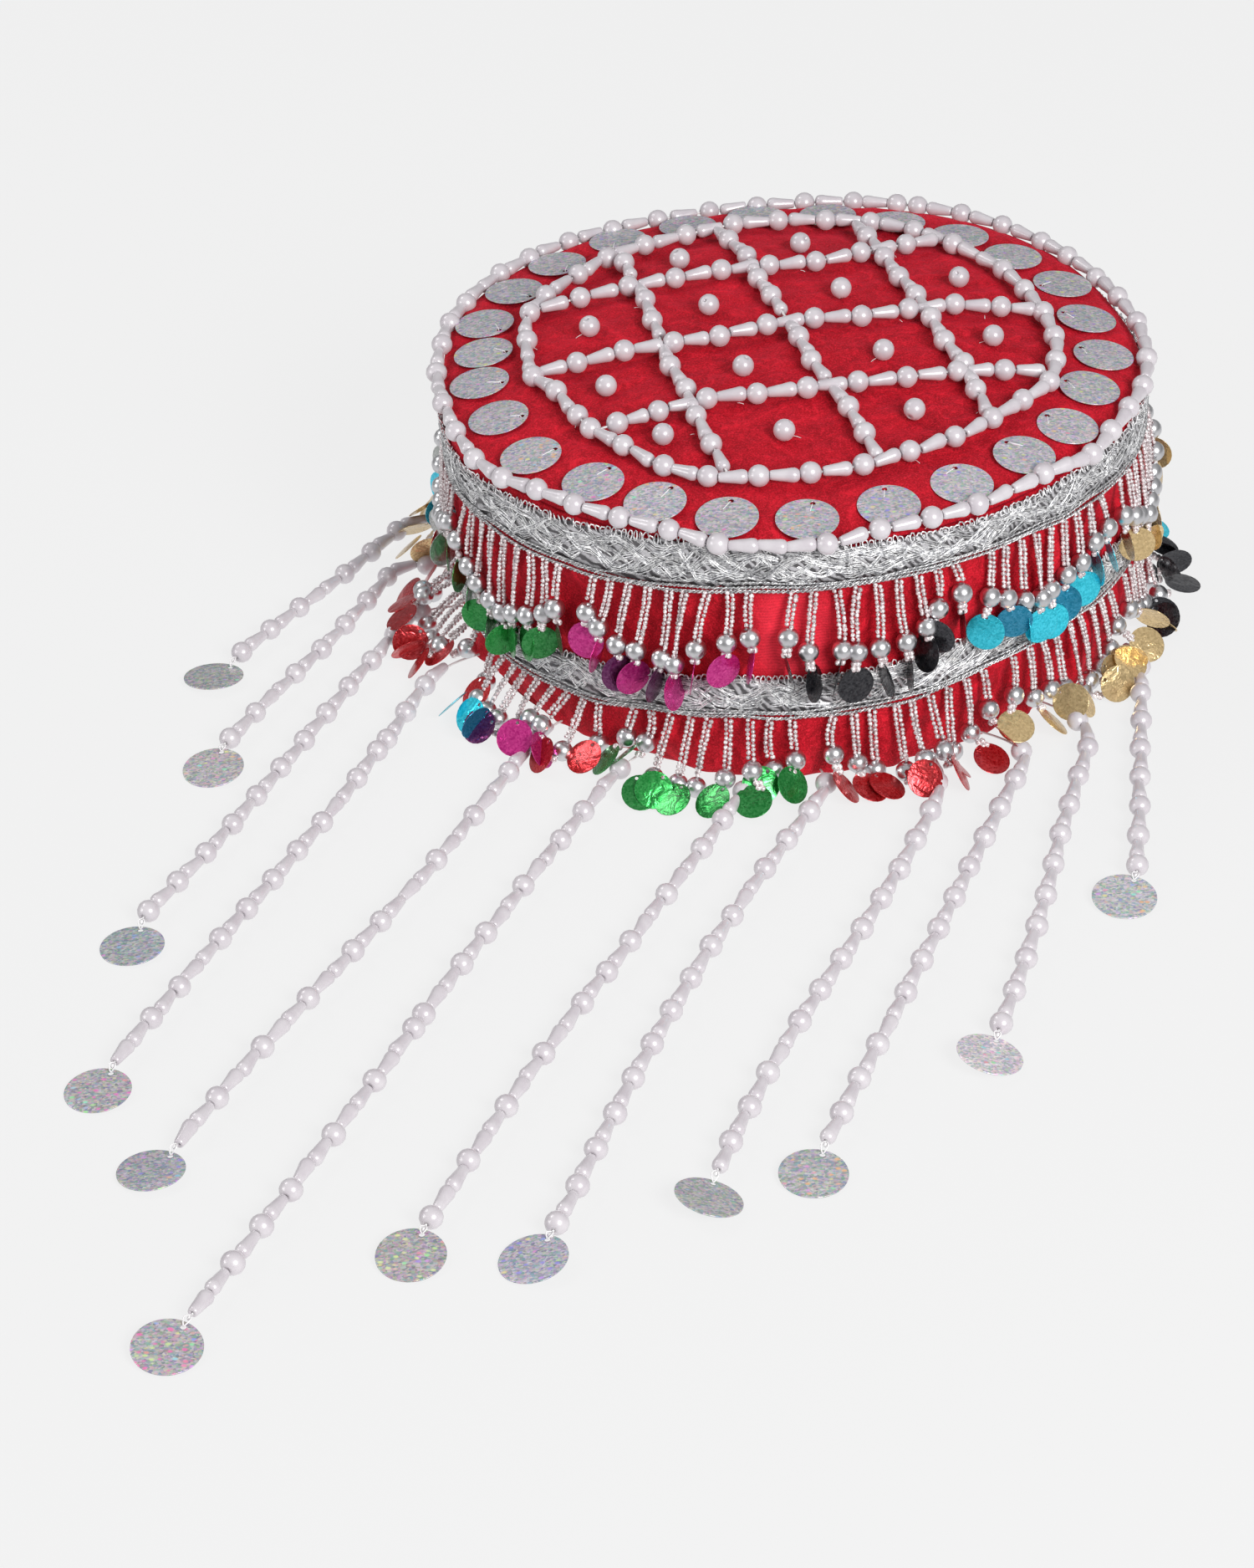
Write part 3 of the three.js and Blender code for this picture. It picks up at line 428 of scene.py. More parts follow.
# ------------------------------------------------------------------ materials
class Nodes:
    """Short names for making a material's nodes."""

    def __init__(self, name):
        self.m = bpy.data.materials.new(name)
        self.m.use_nodes = True
        self.t = self.m.node_tree
        self.t.nodes.clear()
        self.out = self.t.nodes.new("ShaderNodeOutputMaterial")
        self.b = self.t.nodes.new("ShaderNodeBsdfPrincipled")
        self.link(self.b.outputs[0], self.out.inputs[0])
        tc = self.t.nodes.new("ShaderNodeTexCoord")
        self.co = tc.outputs["Object"]

    def link(self, a, b):
        self.t.links.new(a, b)

    def put(self, socket, value):
        if isinstance(value, bpy.types.NodeSocket):
            self.link(value, socket)
        else:
            socket.default_value = value

    def shader(self, **values):
        for k, v in values.items():
            self.put(self.b.inputs[k.replace("_", " ")], v)
        return self

    def node(self, kind, **props):
        n = self.t.nodes.new(kind)
        for k, v in props.items():
            setattr(n, k, v)
        return n

    def stretch(self, scale, vec=None):
        n = self.node("ShaderNodeVectorMath", operation="MULTIPLY")
        self.put(n.inputs[0], vec or self.co)
        n.inputs[1].default_value = scale
        return n.outputs[0]

    def noise(self, scale, detail=3.0, rough=0.55, distort=0.0, vec=None):
        n = self.node("ShaderNodeTexNoise")
        self.put(n.inputs["Vector"], vec or self.co)
        n.inputs["Scale"].default_value = scale
        n.inputs["Detail"].default_value = detail
        n.inputs["Roughness"].default_value = rough
        n.inputs["Distortion"].default_value = distort
        return n.outputs["Fac"]

    def cells(self, scale, vec=None, feature="F1"):
        n = self.node("ShaderNodeTexVoronoi", feature=feature)
        self.put(n.inputs["Vector"], vec or self.co)
        n.inputs["Scale"].default_value = scale
        return n

    def wave(self, scale, direction="Z", distort=2.0, vec=None):
        n = self.node("ShaderNodeTexWave", bands_direction=direction)
        self.put(n.inputs["Vector"], vec or self.co)
        n.inputs["Scale"].default_value = scale
        n.inputs["Distortion"].default_value = distort
        n.inputs["Detail"].default_value = 2.0
        return n.outputs["Fac"]

    def math(self, op, a, b=0.0, c=None):
        n = self.node("ShaderNodeMath", operation=op)
        self.put(n.inputs[0], a)
        self.put(n.inputs[1], b)
        if c is not None:
            self.put(n.inputs[2], c)
        return n.outputs[0]

    def remap(self, v, a, b, c, d):
        n = self.node("ShaderNodeMapRange")
        self.put(n.inputs[0], v)
        for i, x in enumerate((a, b, c, d)):
            n.inputs[i + 1].default_value = x
        return n.outputs[0]

    def mix(self, fac, a, b, kind="MIX"):
        n = self.node("ShaderNodeMix", data_type="RGBA", blend_type=kind)
        self.put(n.inputs[0], fac)
        for s, v in ((n.inputs[6], a), (n.inputs[7], b)):
            self.put(s, (*v, 1.0) if isinstance(v, tuple) and len(v) == 3 else v)
        return n.outputs[2]

    def attribute(self, name):
        n = self.node("ShaderNodeAttribute", attribute_name=name)
        return n.outputs["Color"], n.outputs["Alpha"]

    def bump(self, height, strength, distance, normal=None):
        n = self.node("ShaderNodeBump")
        n.inputs["Strength"].default_value = strength
        n.inputs["Distance"].default_value = distance
        self.put(n.inputs["Height"], height)
        if normal is not None:
            self.put(n.inputs["Normal"], normal)
        return n.outputs[0]

    def facing(self, blend):
        n = self.node("ShaderNodeLayerWeight")
        n.inputs["Blend"].default_value = blend
        return n.outputs["Facing"]


def velvet():
    n = Nodes("crushed_velvet")
    soft = n.noise(34, 4.0, 0.6, 1.0)
    crush = n.noise(120, 5.0, 0.65, 2.4, n.stretch((1.0, 1.0, 0.6)))
    mid = n.noise(520, 4.0, 0.7, 0.8)
    fine = n.noise(2200, 2.0, 0.7)
    base = n.mix(n.remap(soft, 0.34, 0.66, 0, 1), (0.385, 0.0035, 0.0120), (0.505, 0.0055, 0.0170))
    base = n.mix(n.remap(crush, 0.52, 0.72, 0, 0.85), base, (0.84, 0.014, 0.034))
    base = n.mix(n.remap(crush, 0.46, 0.28, 0, 0.6), base, (0.20, 0.001, 0.005))
    base = n.mix(n.remap(mid, 0.56, 0.74, 0.0, 0.8), base, (0.80, 0.014, 0.035))
    base = n.mix(n.remap(mid, 0.46, 0.28, 0.0, 0.7), base, (0.24, 0.0015, 0.006))
    base = n.mix(n.remap(fine, 0.50, 0.68, 0.0, 0.75), base, (0.82, 0.018, 0.042))
    base = n.mix(n.remap(fine, 0.46, 0.30, 0.0, 0.5), base, (0.20, 0.001, 0.005))
    # a place on the front where the pile lies flat and its rows show, painted brighter there as a sheen highlight
    spot = n.node("ShaderNodeVectorMath", operation="DISTANCE")
    n.link(n.stretch((1.0, 1.0, 0.8)), spot.inputs[0])
    spot.inputs[1].default_value = (AXIS[0] - 0.003, AXIS[1] - 0.088, 0.8 * 0.0415)
    flat_pile_sheen = n.remap(spot.outputs["Value"], 0.005, 0.0145, 1.0, 0.0)
    rows = n.wave(370, "Z", 2.6)
    lines = n.math("MULTIPLY", flat_pile_sheen, n.remap(rows, 0.2, 0.8, 0.70, 1.0))
    # painted sheen highlight: the base colour is lifted toward bright red inside that patch
    base = n.mix(n.math("MULTIPLY", lines, 0.85), base, (1.0, 0.045, 0.080))
    # painted sheen: the base colour turns lighter where the cloth is seen edge-on
    base = n.mix(n.remap(n.facing(0.45), 0.45, 1.0, 0, 0.5), base, (0.66, 0.010, 0.028))
    pile = n.bump(fine, 0.6, 0.0003)
    pile = n.bump(mid, 0.5, 0.0007, pile)
    rib = n.bump(rows, 0.12, 0.00010, pile)
    bumps = n.bump(crush, 0.5, 0.0012, rib)
    n.shader(Base_Color=base, Roughness=0.72, Normal=bumps)
    n.b.inputs["Sheen Weight"].default_value = 0.28
    n.b.inputs["Sheen Roughness"].default_value = 0.3
    n.b.inputs["Sheen Tint"].default_value = (1.0, 0.07, 0.15, 1)
    n.b.inputs["Specular IOR Level"].default_value = 0.18
    return n.m


def cloth_back():
    n = Nodes("cloth_back")
    a = n.wave(330, "Z", 0.6)
    b = n.wave(330, "X", 0.6)
    weave = n.math("MULTIPLY", a, b)
    base = n.mix(n.noise(60, 3.0), (0.22, 0.004, 0.008), (0.32, 0.008, 0.014))
    n.shader(Base_Color=n.mix(weave, base, (0.42, 0.02, 0.03)), Roughness=0.92, Normal=n.bump(weave, 0.3, 0.0002))
    n.b.inputs["Specular IOR Level"].default_value = 0.15
    return n.m


def pearl():
    n = Nodes("pearl_lustre")
    body = n.mix(n.remap(n.noise(260, 2.0), 0.35, 0.65, 0, 1), (0.565, 0.52, 0.556), (0.63, 0.595, 0.622))
    n.shader(Base_Color=body, Roughness=0.34)
    n.b.inputs["Coat Weight"].default_value = 0.75
    n.b.inputs["Coat Roughness"].default_value = 0.26
    n.b.inputs["Coat IOR"].default_value = 1.75
    n.b.inputs["Sheen Weight"].default_value = 0.5
    n.b.inputs["Sheen Roughness"].default_value = 0.35
    n.b.inputs["Sheen Tint"].default_value = (0.95, 0.90, 0.94, 1)
    n.b.inputs["Specular IOR Level"].default_value = 0.6
    return n.m


def thread():
    n = Nodes("sewing_thread")
    twist = n.noise(3000, 1.0)
    n.shader(Base_Color=n.mix(twist, (0.76, 0.74, 0.75), (0.88, 0.87, 0.87)), Roughness=0.45, Normal=n.bump(twist, 0.2, 0.0001))
    return n.m


def silver_ball():
    n = Nodes("silvered_ball")
    wear = n.noise(420, 3.0)
    metal = n.mix(n.remap(wear, 0.4, 0.7, 0, 1), (0.80, 0.795, 0.81), (0.66, 0.66, 0.68))
    n.shader(Base_Color=metal, Roughness=n.remap(wear, 0.3, 0.7, 0.28, 0.35), Normal=n.bump(wear, 0.04, 0.0002))
    n.b.inputs["Metallic"].default_value = 1.0
    return n.m


def seed_glass():
    n = Nodes("silver_lined_seed")
    col, _ = n.attribute("Tint")
    glint = n.noise(1500, 2.0)
    base = n.mix(n.remap(glint, 0.42, 0.58, 0, 1), (0.50, 0.40, 0.41), (0.98, 0.94, 0.94))
    n.shader(Base_Color=n.mix(1.0, base, col, "MULTIPLY"), Roughness=n.remap(glint, 0.3, 0.7, 0.34, 0.14), Normal=n.bump(glint, 0.45, 0.0003))
    n.b.inputs["Metallic"].default_value = 0.3
    n.b.inputs["Coat Weight"].default_value = 0.7
    n.b.inputs["Coat Roughness"].default_value = 0.06
    return n.m


def foil():
    n = Nodes("coloured_foil")
    col, _ = n.attribute("Tint")
    cr = n.noise(240, 3.0, 0.6, 0.6)
    grain = n.cells(2300)
    speck = n.node("ShaderNodeSeparateColor")
    n.link(grain.outputs["Color"], speck.inputs[0])
    dark = n.mix(1.0, col, (0.80, 0.80, 0.80), "MULTIPLY")
    bright = n.mix(0.05, n.mix(1.0, col, (1.2, 1.2, 1.2), "MULTIPLY"), (1.0, 1.0, 1.0))
    base = n.mix(n.remap(speck.outputs[0], 0.0, 1.0, 0, 1), dark, bright)
    n.shader(Base_Color=base, Roughness=n.remap(cr, 0.35, 0.7, 0.16, 0.32), Normal=n.bump(cr, 0.55, 0.0008))
    n.b.inputs["Metallic"].default_value = 0.7
    n.b.inputs["Coat Weight"].default_value = 0.25
    n.b.inputs["Coat Roughness"].default_value = 0.1
    return n.m


def lurex():
    n = Nodes("metallic_thread")
    col, _ = n.attribute("Tint")
    glint = n.noise(1000, 3.0, 0.7)
    base = n.mix(n.remap(glint, 0.40, 0.57, 0, 1), (0.38, 0.38, 0.40), (1.0, 1.0, 1.0))
    n.shader(Base_Color=n.mix(1.0, base, col, "MULTIPLY"), Roughness=n.remap(glint, 0.3, 0.7, 0.40, 0.22), Normal=n.bump(glint, 0.45, 0.0003))
    n.b.inputs["Metallic"].default_value = 0.5
    return n.m


def lurex_ground():
    n = Nodes("metallic_ground")
    fine = n.noise(1100, 3.0, 0.7, 0.8)
    diag = n.wave(240, "DIAGONAL", 6.0)
    h = n.math("MULTIPLY", fine, diag)
    base = n.mix(n.remap(h, 0.12, 0.42, 0, 1), (0.10, 0.095, 0.10), (0.58, 0.57, 0.59))
    n.shader(Base_Color=base, Roughness=0.42, Normal=n.bump(h, 0.6, 0.0005))
    n.b.inputs["Metallic"].default_value = 0.4
    return n.m


def paillette():
    """Finely grained silver foil, with small flecks in the piece's own colours."""
    n = Nodes("grained_foil")
    col, _ = n.attribute("Tint")
    hue, amount = n.attribute("Fleck")
    flat = n.stretch((0.8, 1.25, 1.0))
    cell = n.cells(1900, flat)
    coarse = n.cells(760, flat)
    grain = n.node("ShaderNodeSeparateColor")
    n.link(cell.outputs["Color"], grain.inputs[0])
    speck = n.node("ShaderNodeSeparateColor")
    n.link(coarse.outputs["Color"], speck.inputs[0])
    cloudy = n.noise(420, 3.0, 0.6)
    shade = n.math("MULTIPLY", n.remap(grain.outputs[0], 0.0, 1.0, 0.70, 1.28), n.remap(cloudy, 0.3, 0.7, 0.9, 1.1))
    base = n.mix(1.0, col, n.mix(1.0, shade, shade), "MULTIPLY")
    pastel = n.mix(0.22, base, cell.outputs["Color"], "MIX")
    rainbow = n.node("ShaderNodeCombineColor", mode="HSV")
    n.link(speck.outputs[1], rainbow.inputs[0])
    rainbow.inputs[1].default_value = 0.6
    rainbow.inputs[2].default_value = 0.9
    own = n.mix(n.remap(speck.outputs[2], 0.35, 0.65, 0, 1), rainbow.outputs[0], hue)
    often = n.math("SUBTRACT", 1.0, n.math("MULTIPLY", amount, 0.42))
    hit = n.math("GREATER_THAN", speck.outputs[0], often)
    near = n.remap(coarse.outputs["Distance"], 0.25, 0.5, 0.85, 0.0)
    base = n.mix(n.math("MULTIPLY", hit, near), pastel, own)
    n.shader(Base_Color=base, Roughness=n.remap(grain.outputs[1], 0, 1, 0.32, 0.5), Normal=n.bump(grain.outputs[2], 0.18, 0.0002))
    n.b.inputs["Metallic"].default_value = 0.35
    n.b.inputs["Coat Weight"].default_value = 0.2
    n.b.inputs["Coat Roughness"].default_value = 0.12
    return n.m


VELVET, BACK, PEARLY, THREAD = velvet(), cloth_back(), pearl(), thread()
SILVER, SEED, FOIL, LUREX, GROUND, PAILLETTE = silver_ball(), seed_glass(), foil(), lurex(), lurex_ground(), paillette()

# ------------------------------------------------------------------ crown and band
dents = Waves(3, 34, 30)
small = Waves(4, 11, 36)


def crown_top(x, y):
    """Height of the crown's pile: the dome with soft dents, a little lower under the sewn beads."""
    r = np.hypot(x, y)
    z = dome_z(r) + 0.22
    z = z + 0.22 * dents(x, y, 0 * x) + 0.14 * small(x, y, 0 * x)
    rim = np.clip((r - 78) / 9, 0, 1)
    z = z + 0.8 * rear(np.arctan2(y, x)) * rim * rim * (3 - 2 * rim)
    return z - 0.35 * np.exp(-(((r - 67.4) / 3.5) ** 2))


def crown_cloth():
    n, soup = 320, Soup()
    a = 2 * np.pi * np.arange(n) / n
    edge = outline("border", a) - 1.2 + 1.2 * rear(a)
    top = np.concatenate([np.linspace(1.5, 66, 30), np.linspace(68, 85, 12)]) / 88.5
    rows = []
    for t in top:
        r = t * edge
        rows.append(np.stack([r * np.cos(a), r * np.sin(a), crown_top(r * np.cos(a), r * np.sin(a))], -1))
    for dr, dz in ((2.0, -0.25), (1.0, -0.6), (0.35, -1.1), (0.0, -1.8), (0.0, -2.5)):
        r = edge - dr
        rows.append(np.stack([r * np.cos(a), r * np.sin(a), EDGE_Z + 0.22 + dz + 0.8 * rear(a)], -1))
    for t in (0.985, 0.93, 0.8, 0.55, 0.25, 0.02):
        r = t * (edge - 0.6)
        rows.append(np.stack([r * np.cos(a), r * np.sin(a), np.minimum(dome_z(r) - 1.5, dome_z(r) - 1.5) + 0 * a], -1))
    m = len(rows)
    v = np.concatenate(rows + [[[0, 0, crown_top(np.zeros(1), np.zeros(1))[0]], [0, 0, dome_z(0) - 1.5]]])
    i = np.arange(n)
    j = (i + 1) % n
    quads = np.concatenate([np.stack([k * n + i, (k + 1) * n + i, (k + 1) * n + j, k * n + j], -1) for k in range(m - 1)])
    tris = np.concatenate([np.stack([0 * i + m * n, i, j], -1), np.stack([0 * i + m * n + 1, (m - 1) * n + j, (m - 1) * n + i], -1)])
    soup.add(v, tris, quads)
    return make("crown_cloth", soup, [VELVET], ["crown_panel"], colours=False)


folds = Waves(9, 26, 26, squash=(1, 1, 0.45))
creases = Waves(10, 9, 30, squash=(1, 1, 0.5))


def band_face(a, z):
    """Radius of the band's pile, with soft upright folds that grow between and below the braids."""
    r = band_r(a, z)
    x, y = 88 * np.cos(a), 88 * np.sin(a)
    step = lambda v: np.clip(v, 0, 1) ** 2 * (3 - 2 * np.clip(v, 0, 1))
    upper, lower = braid_low(1, a), braid_low(2, a)
    between = step((upper - 0.5 - z) / 7) * step((z - lower - BRAID_W - 0.5) / 7)
    free = between + 0.8 * step((lower - 0.5 - z) / 7)
    return r + free * (1.0 * folds(x, y, z) + 0.42 * creases(x, y, z)) + 0.1


def band_cloth():
    n, soup = 480, Soup()
    a = 2 * np.pi * np.arange(n) / n
    outer = np.concatenate([[0.0, 0.5, 1.4], np.linspace(3, BAND_TOP - 0.6, 34), [BAND_TOP]])
    inner = [BAND_TOP, 50, 34, 18, 6, 1.0, 0.0]
    rows, mats = [], []
    for z in outer:
        r = band_face(a, z) - (0.9 if z == 0 else 0.35 if z < 1 else 0.0) - (0.4 if z == BAND_TOP else 0)
        rows.append(np.stack([r * np.cos(a), r * np.sin(a), z + 0 * a], -1))
    for z in inner:
        r = band_r(a, z) - BAND_THICK + (0.5 if z in (0.0, BAND_TOP) else 0)
        rows.append(np.stack([r * np.cos(a), r * np.sin(a), z + 0 * a], -1))
    m = len(rows)
    i = np.arange(n)
    j = (i + 1) % n
    v = np.concatenate(rows)
    soup.add(v)
    for k in range(m):
        l = (k + 1) % m
        face = np.stack([k * n + i, k * n + j, l * n + j, l * n + i], -1)
        soup.q.append(face)
        inside = len(outer) <= k < m - 1
        soup.qm.append(np.full(n, 1 if inside else 0))
    return make("band_cloth", soup, [VELVET, BACK], ["side_band"], colours=False)


crown = crown_cloth()
band = band_cloth()


# ------------------------------------------------------------------ braids
def on_braid(which, a, v, h):
    """A point on a braid: v runs from its low edge (0) to its high edge (BRAID_W), h stands off the band."""
    low = braid_low(which, a)
    d = (np.degrees(a) + 180) % 360 - 180
    top = 66.6 + 1.9 * np.exp(-(((d + 106) / 36.0) ** 4))
    wide = BRAID_W + (2.6 * np.exp(-(((d + 106) / 36.0) ** 4)) if which == 1 else 0)
    room = np.minimum(wide, top - low)
    z = low + v * room / BRAID_W
    r = band_r(a, np.minimum(z, BAND_TOP)) + 0.55 + h
    return np.stack([r * np.cos(a), r * np.sin(a), z], -1)


def radial(a):
    return np.stack([np.cos(a), np.sin(a), 0 * a], -1)


def braid(which, name, node, seed):
    g = np.random.default_rng(seed)
    n = 420
    a = 2 * np.pi * np.arange(n) / n
    ground = Soup()
    wav = Waves(seed, 8, 20)
    ring = []
    for v, h in ((1.1, 0.0), (1.1, 0.30), (5.0, 0.6), (8.0, 0.6), (11.6, 0.4), (11.6, 0.0)):
        p = on_braid(which, a, v + 0.25 * wav(88 * np.cos(a), 88 * np.sin(a), 0 * a + v), h + (0.1 * wav(70 * np.cos(a), 70 * np.sin(a), 0 * a + v) if h > 0.1 else 0))
        ring.append(p)
    m = len(ring)
    i = np.arange(n)
    j = (i + 1) % n
    ground.add(np.concatenate(ring))
    for k in range(m):
        l = (k + 1) % m
        ground.q.append(np.stack([k * n + i, k * n + j, l * n + j, l * n + i], -1))
        ground.qm.append(np.zeros(n, int))
    base = make(f"{name}_ground", ground, [GROUND], [node], colours=False)

    soup = Soup()
    around = 2 * np.pi * 90
    # tapes of side by side wires that cross each other and turn back at both edges
    flat = np.array([(-0.18, 0.0), (0.0, 0.12), (0.18, 0.0)])
    steps = 280
    s = np.arange(steps) * around / steps
    ang = s / 90
    for k in range(10):
        period = around / round(around / g.uniform(23.0, 38.0))
        phase = g.uniform(0, 2 * np.pi)
        warp = Waves(seed * 100 + k, 24, 10)
        w = s + 3.0 * warp(88 * np.cos(ang), 88 * np.sin(ang), 0 * ang)
        tri = (2 / np.pi) * np.arcsin(0.985 * np.sin(2 * np.pi * w / period + phase))
        sh0 = g.uniform(0.84, 1.52)
        for wire in (-1.5, -0.5, 0.5, 1.5):
            own = Waves(seed * 1000 + 4 * k + int(wire + 1.5), 13, 10)
            v = 6.9 + 0.4 * warp(50 * np.cos(ang), 50 * np.sin(ang), 0 * ang + 9) + 3.95 * tri + wire * 0.43 + 0.16 * own(88 * np.cos(ang), 88 * np.sin(ang), 0 * ang)
            v = np.clip(v, 2.5, 11.7)
            h = 0.66 + 0.28 * np.sin(2 * np.pi * w / period * 2 + k) + 0.10 * own(33 * np.cos(ang), 33 * np.sin(ang), 0 * ang)
            spin = 0.35 * own(140 * np.cos(ang), 140 * np.sin(ang), 0 * ang + 3)
            sh = sh0 * g.uniform(0.75, 1.2)
            sweep(soup, on_braid(which, ang, v, h), radial(ang), flat, True, spin, 0, (sh, sh, sh, 1))
    # cords that run along the low edge, each of two twisted plies
    for v0, r, pitch, h in ((0.35, 0.40, 2.3, 0.75), (1.45, 0.34, 2.0, 0.75), (2.35, 0.28, 1.8, 0.85)):
        st = 950
        s2 = np.arange(st) * around / st
        an = s2 / 90
        wand = Waves(seed * 7 + int(v0 * 10), 30, 12)
        turns = round(around / pitch)
        for ply in (0, 1):
            ph = turns * an + ply * np.pi
            v = v0 + 0.25 * wand(80 * np.cos(an), 80 * np.sin(an), 0 * an) + r * 0.8 * np.sin(ph)
            hh = h + r * 0.8 * np.cos(ph)
            sh = 1.0 if ply else 0.6
            sweep(soup, on_braid(which, an, v, hh), radial(an), round_section(r * 0.75, 3), True, None, 0, (sh, sh, sh, 1))
    # small loops along the high edge
    count = 380
    t = 2 * np.pi * np.arange(7) / 7
    for c in range(count):
        a0 = 2 * np.pi * c / count + g.normal(0, 0.001)
        w, tall = g.uniform(0.5, 0.75), g.uniform(0.8, 1.25)
        la = a0 + w * np.cos(t) / 90
        p = on_braid(which, la, 11.7 + tall * (np.sin(t)), 0.6 + 0.5 * np.cos(t + g.uniform(0, 6)))
        sh = g.uniform(1.05, 1.45)
        sweep(soup, p, radial(la), round_section(0.21, 3), True, None, 0, (sh, sh, sh, 1))
    threads = make(f"{name}_threads", soup, [LUREX])
    return base, threads


braid(1, "upper_braid", "upper_braid", 21)
braid(2, "lower_braid", "lower_braid", 22)

# ------------------------------------------------------------------ fringes
GREEN, PINK, DARK, BLACK = (0.004, 0.26, 0.035), (0.66, 0.014, 0.26), (0.13, 0.003, 0.02), (0.014, 0.014, 0.020)
TURQ, DEEP, GOLD, RED = (0.02, 0.66, 0.84), (0.0, 0.27, 0.46), (0.74, 0.54, 0.26), (0.55, 0.008, 0.014)
GREY, HOLO, PURPLE, CYAN = (0.05, 0.05, 0.055), (0.50, 0.52, 0.50), (0.14, 0.004, 0.10), (0.02, 0.66, 0.88)
G, K, M, B, T, E, O, R, S, H, U, C = GREEN, PINK, DARK, BLACK, TURQ, DEEP, GOLD, RED, GREY, HOLO, PURPLE, CYAN
UPPER_FOILS = [
    # nine strings of each group, from the group left of the first gap, going round to the right
    [G, G, G, G, G, G, G, G, M], [K, K, U, K, U, K, K, K, K], [B, B, B, B, B, B, B, B, B], [T, E, T, T, T, E, T, T, T],
    [O, O, O, O, O, O, O, O, O], [S, S, B, S, S, S, B, S, S], [R, R, R, R, R, R, R, R, R], [G, G, G, G, G, G, G, G, G],
    [K, K, K, U, K, K, K, K, K], [C, C, T, C, C, C, C, C, C], [H, C, C, H, R, R, H, H, G],
]
LOWER_FOILS = [
    [R, T, T, E, U, K, K, R, R], [G, G, G, G, G, G, G, G, G], [R, R, R, R, R, R, R, R, R], [O, O, O, O, O, O, O, O, O],
    [O, O, B, B, B, B, B, B, B], [T, T, T, T, T, T, T, T, T], [K, K, K, K, K, K, K, K, K], [G, G, G, G, G, G, G, G, G],
    [B, B, B, B, B, B, B, B, B], [O, O, O, O, O, O, O, O, O], [R, R, R, R, R, R, R, R, R],
]
UPPER_DROPS = {
    # from the braid to the middle of the ball, for the groups the tables name; others take the last row
    0: [11.5, 15, 19, 20, 21.5, 19.5, 17.5, 15, 12], 1: [10, 14.4, 17.3, 19, 19, 20, 16, 13.5, 11.5],
    2: [11.5, 15.6, 16.5, 17.8, 17.5, 17, 14, 9.5, 7.5], 3: [12, 14, 17, 18, 17, 15, 13.7, 10.5, 8.5],
    -1: [10, 14, 17, 18.5, 18, 17, 15, 12, 9.5],
}
# how far each ball hangs to the right of its string's top; others take the last row
UPPER_LEANS = {
    0: [-2.5, -0.6, -0.5, -0.8, -1.0, -1.5, -0.6, 0.2, -0.8], 1: [-1.7, -3.4, -3.0, -3.3, -2.0, -2.9, -2.5, -1.2, 0.0],
    2: [-1.7, -1.9, 0.0, -0.6, -0.2, 0.8, 1.4, -0.6, 1.0], 3: [-1.0, -0.6, 0.4, 0.0, -0.8, -0.6, 0.2, -0.5, 0.0],
    -1: [-0.6, 0.4, -0.3, 0.5, -0.2, 0.3, -0.6, 0.2, 0.5],
}
LOWER_LEANS = {1: [-1.5, -1.0, -1.5, -1.2, -0.5, 0.4, 0.8, 0.3, 0.0], 2: [-0.6, 0.2, 0.4, 0.6, 0.2, 0.4, -0.8, -0.5, 0.0],
               -1: [-0.8, -0.4, 0.4, -0.6, 0.3, 0.8, -0.2, 0.4, 0.6]}
LOWER_DROPS = {-1: [10.5, 13.5, 16.5, 17.5, 19.5, 19.0, 17.5, 15.0, 11.0]}

SEED_T = ball(0.67, 5, 4)
BALL_T = ball(2.65, 14, 9, 0.5)
CLEAR_T = ball(0.85, 8, 5)
SMALL_DISC = plate(4.75, 0.14, 22, 3.85, 0.45, 0.25)

# how far the foils of the two front groups are turned away, string by string
UPPER_YAWS = {1: [0.25, 1.40, 0.85, 0.95, 1.45, 1.35, 1.42, 0.70, 1.40], 2: [1.40, 1.15, 1.35, 0.25, 1.38, 1.45, 1.30, 0.80, 1.25]}


def strand_route(row):
    hem_az, x0, y0, x1, y1, bow, bend, lead, pattern = row[:9]
    p0, p1 = np.array([x0, y0, STRAND_Z]), np.array([x1, y1, STRAND_Z])
    t = p1 - p0
    nrm = unit(np.array([-t[1], t[0], 0.0]))

    def on(u):
        c = min(max(u, 0), 1)
        return p0 + t * u + nrm * (bow * math.sin(math.pi * c) + bend * math.sin(2 * math.pi * c))

    az = math.radians(hem_az)
    hem_r = band_r(az, STRAND_Z) + 0.9
    hem = np.array([hem_r * math.cos(az), hem_r * math.sin(az), STRAND_Z])
    elbow = p0 - unit(on(0.02) - on(0)) * 0.5 * np.linalg.norm(p0 - hem)
    pts = [hem * (1 - u) ** 2 + elbow * 2 * u * (1 - u) + p0 * u * u for u in np.arange(10) / 10]
    lead_len = Route(pts + [p0]).length
    pts += [on(k / 60) for k in range(61)]
    reach = Route(pts).length - lead_len
    pts += [on(k / 60) for k in range(61, 67)]
    return Route(pts), lead_len, reach


strand_routes = [strand_route(row) for row in STRANDS]
strand_points = np.concatenate([r.at(np.arange(0, ll + 60, 1.5)) for r, ll, _ in strand_routes])


def clear_of_strands(p, need):
    """How much a point has to rise to stay off the strands on the floor."""
    d = np.hypot(strand_points[:, 0] - p[0], strand_points[:, 1] - p[1]).min()
    if d >= need:
        return 0.0
    return max(0.0, STRAND_Z + math.sqrt(max(need * need - d * d, 0.0)) - p[2])


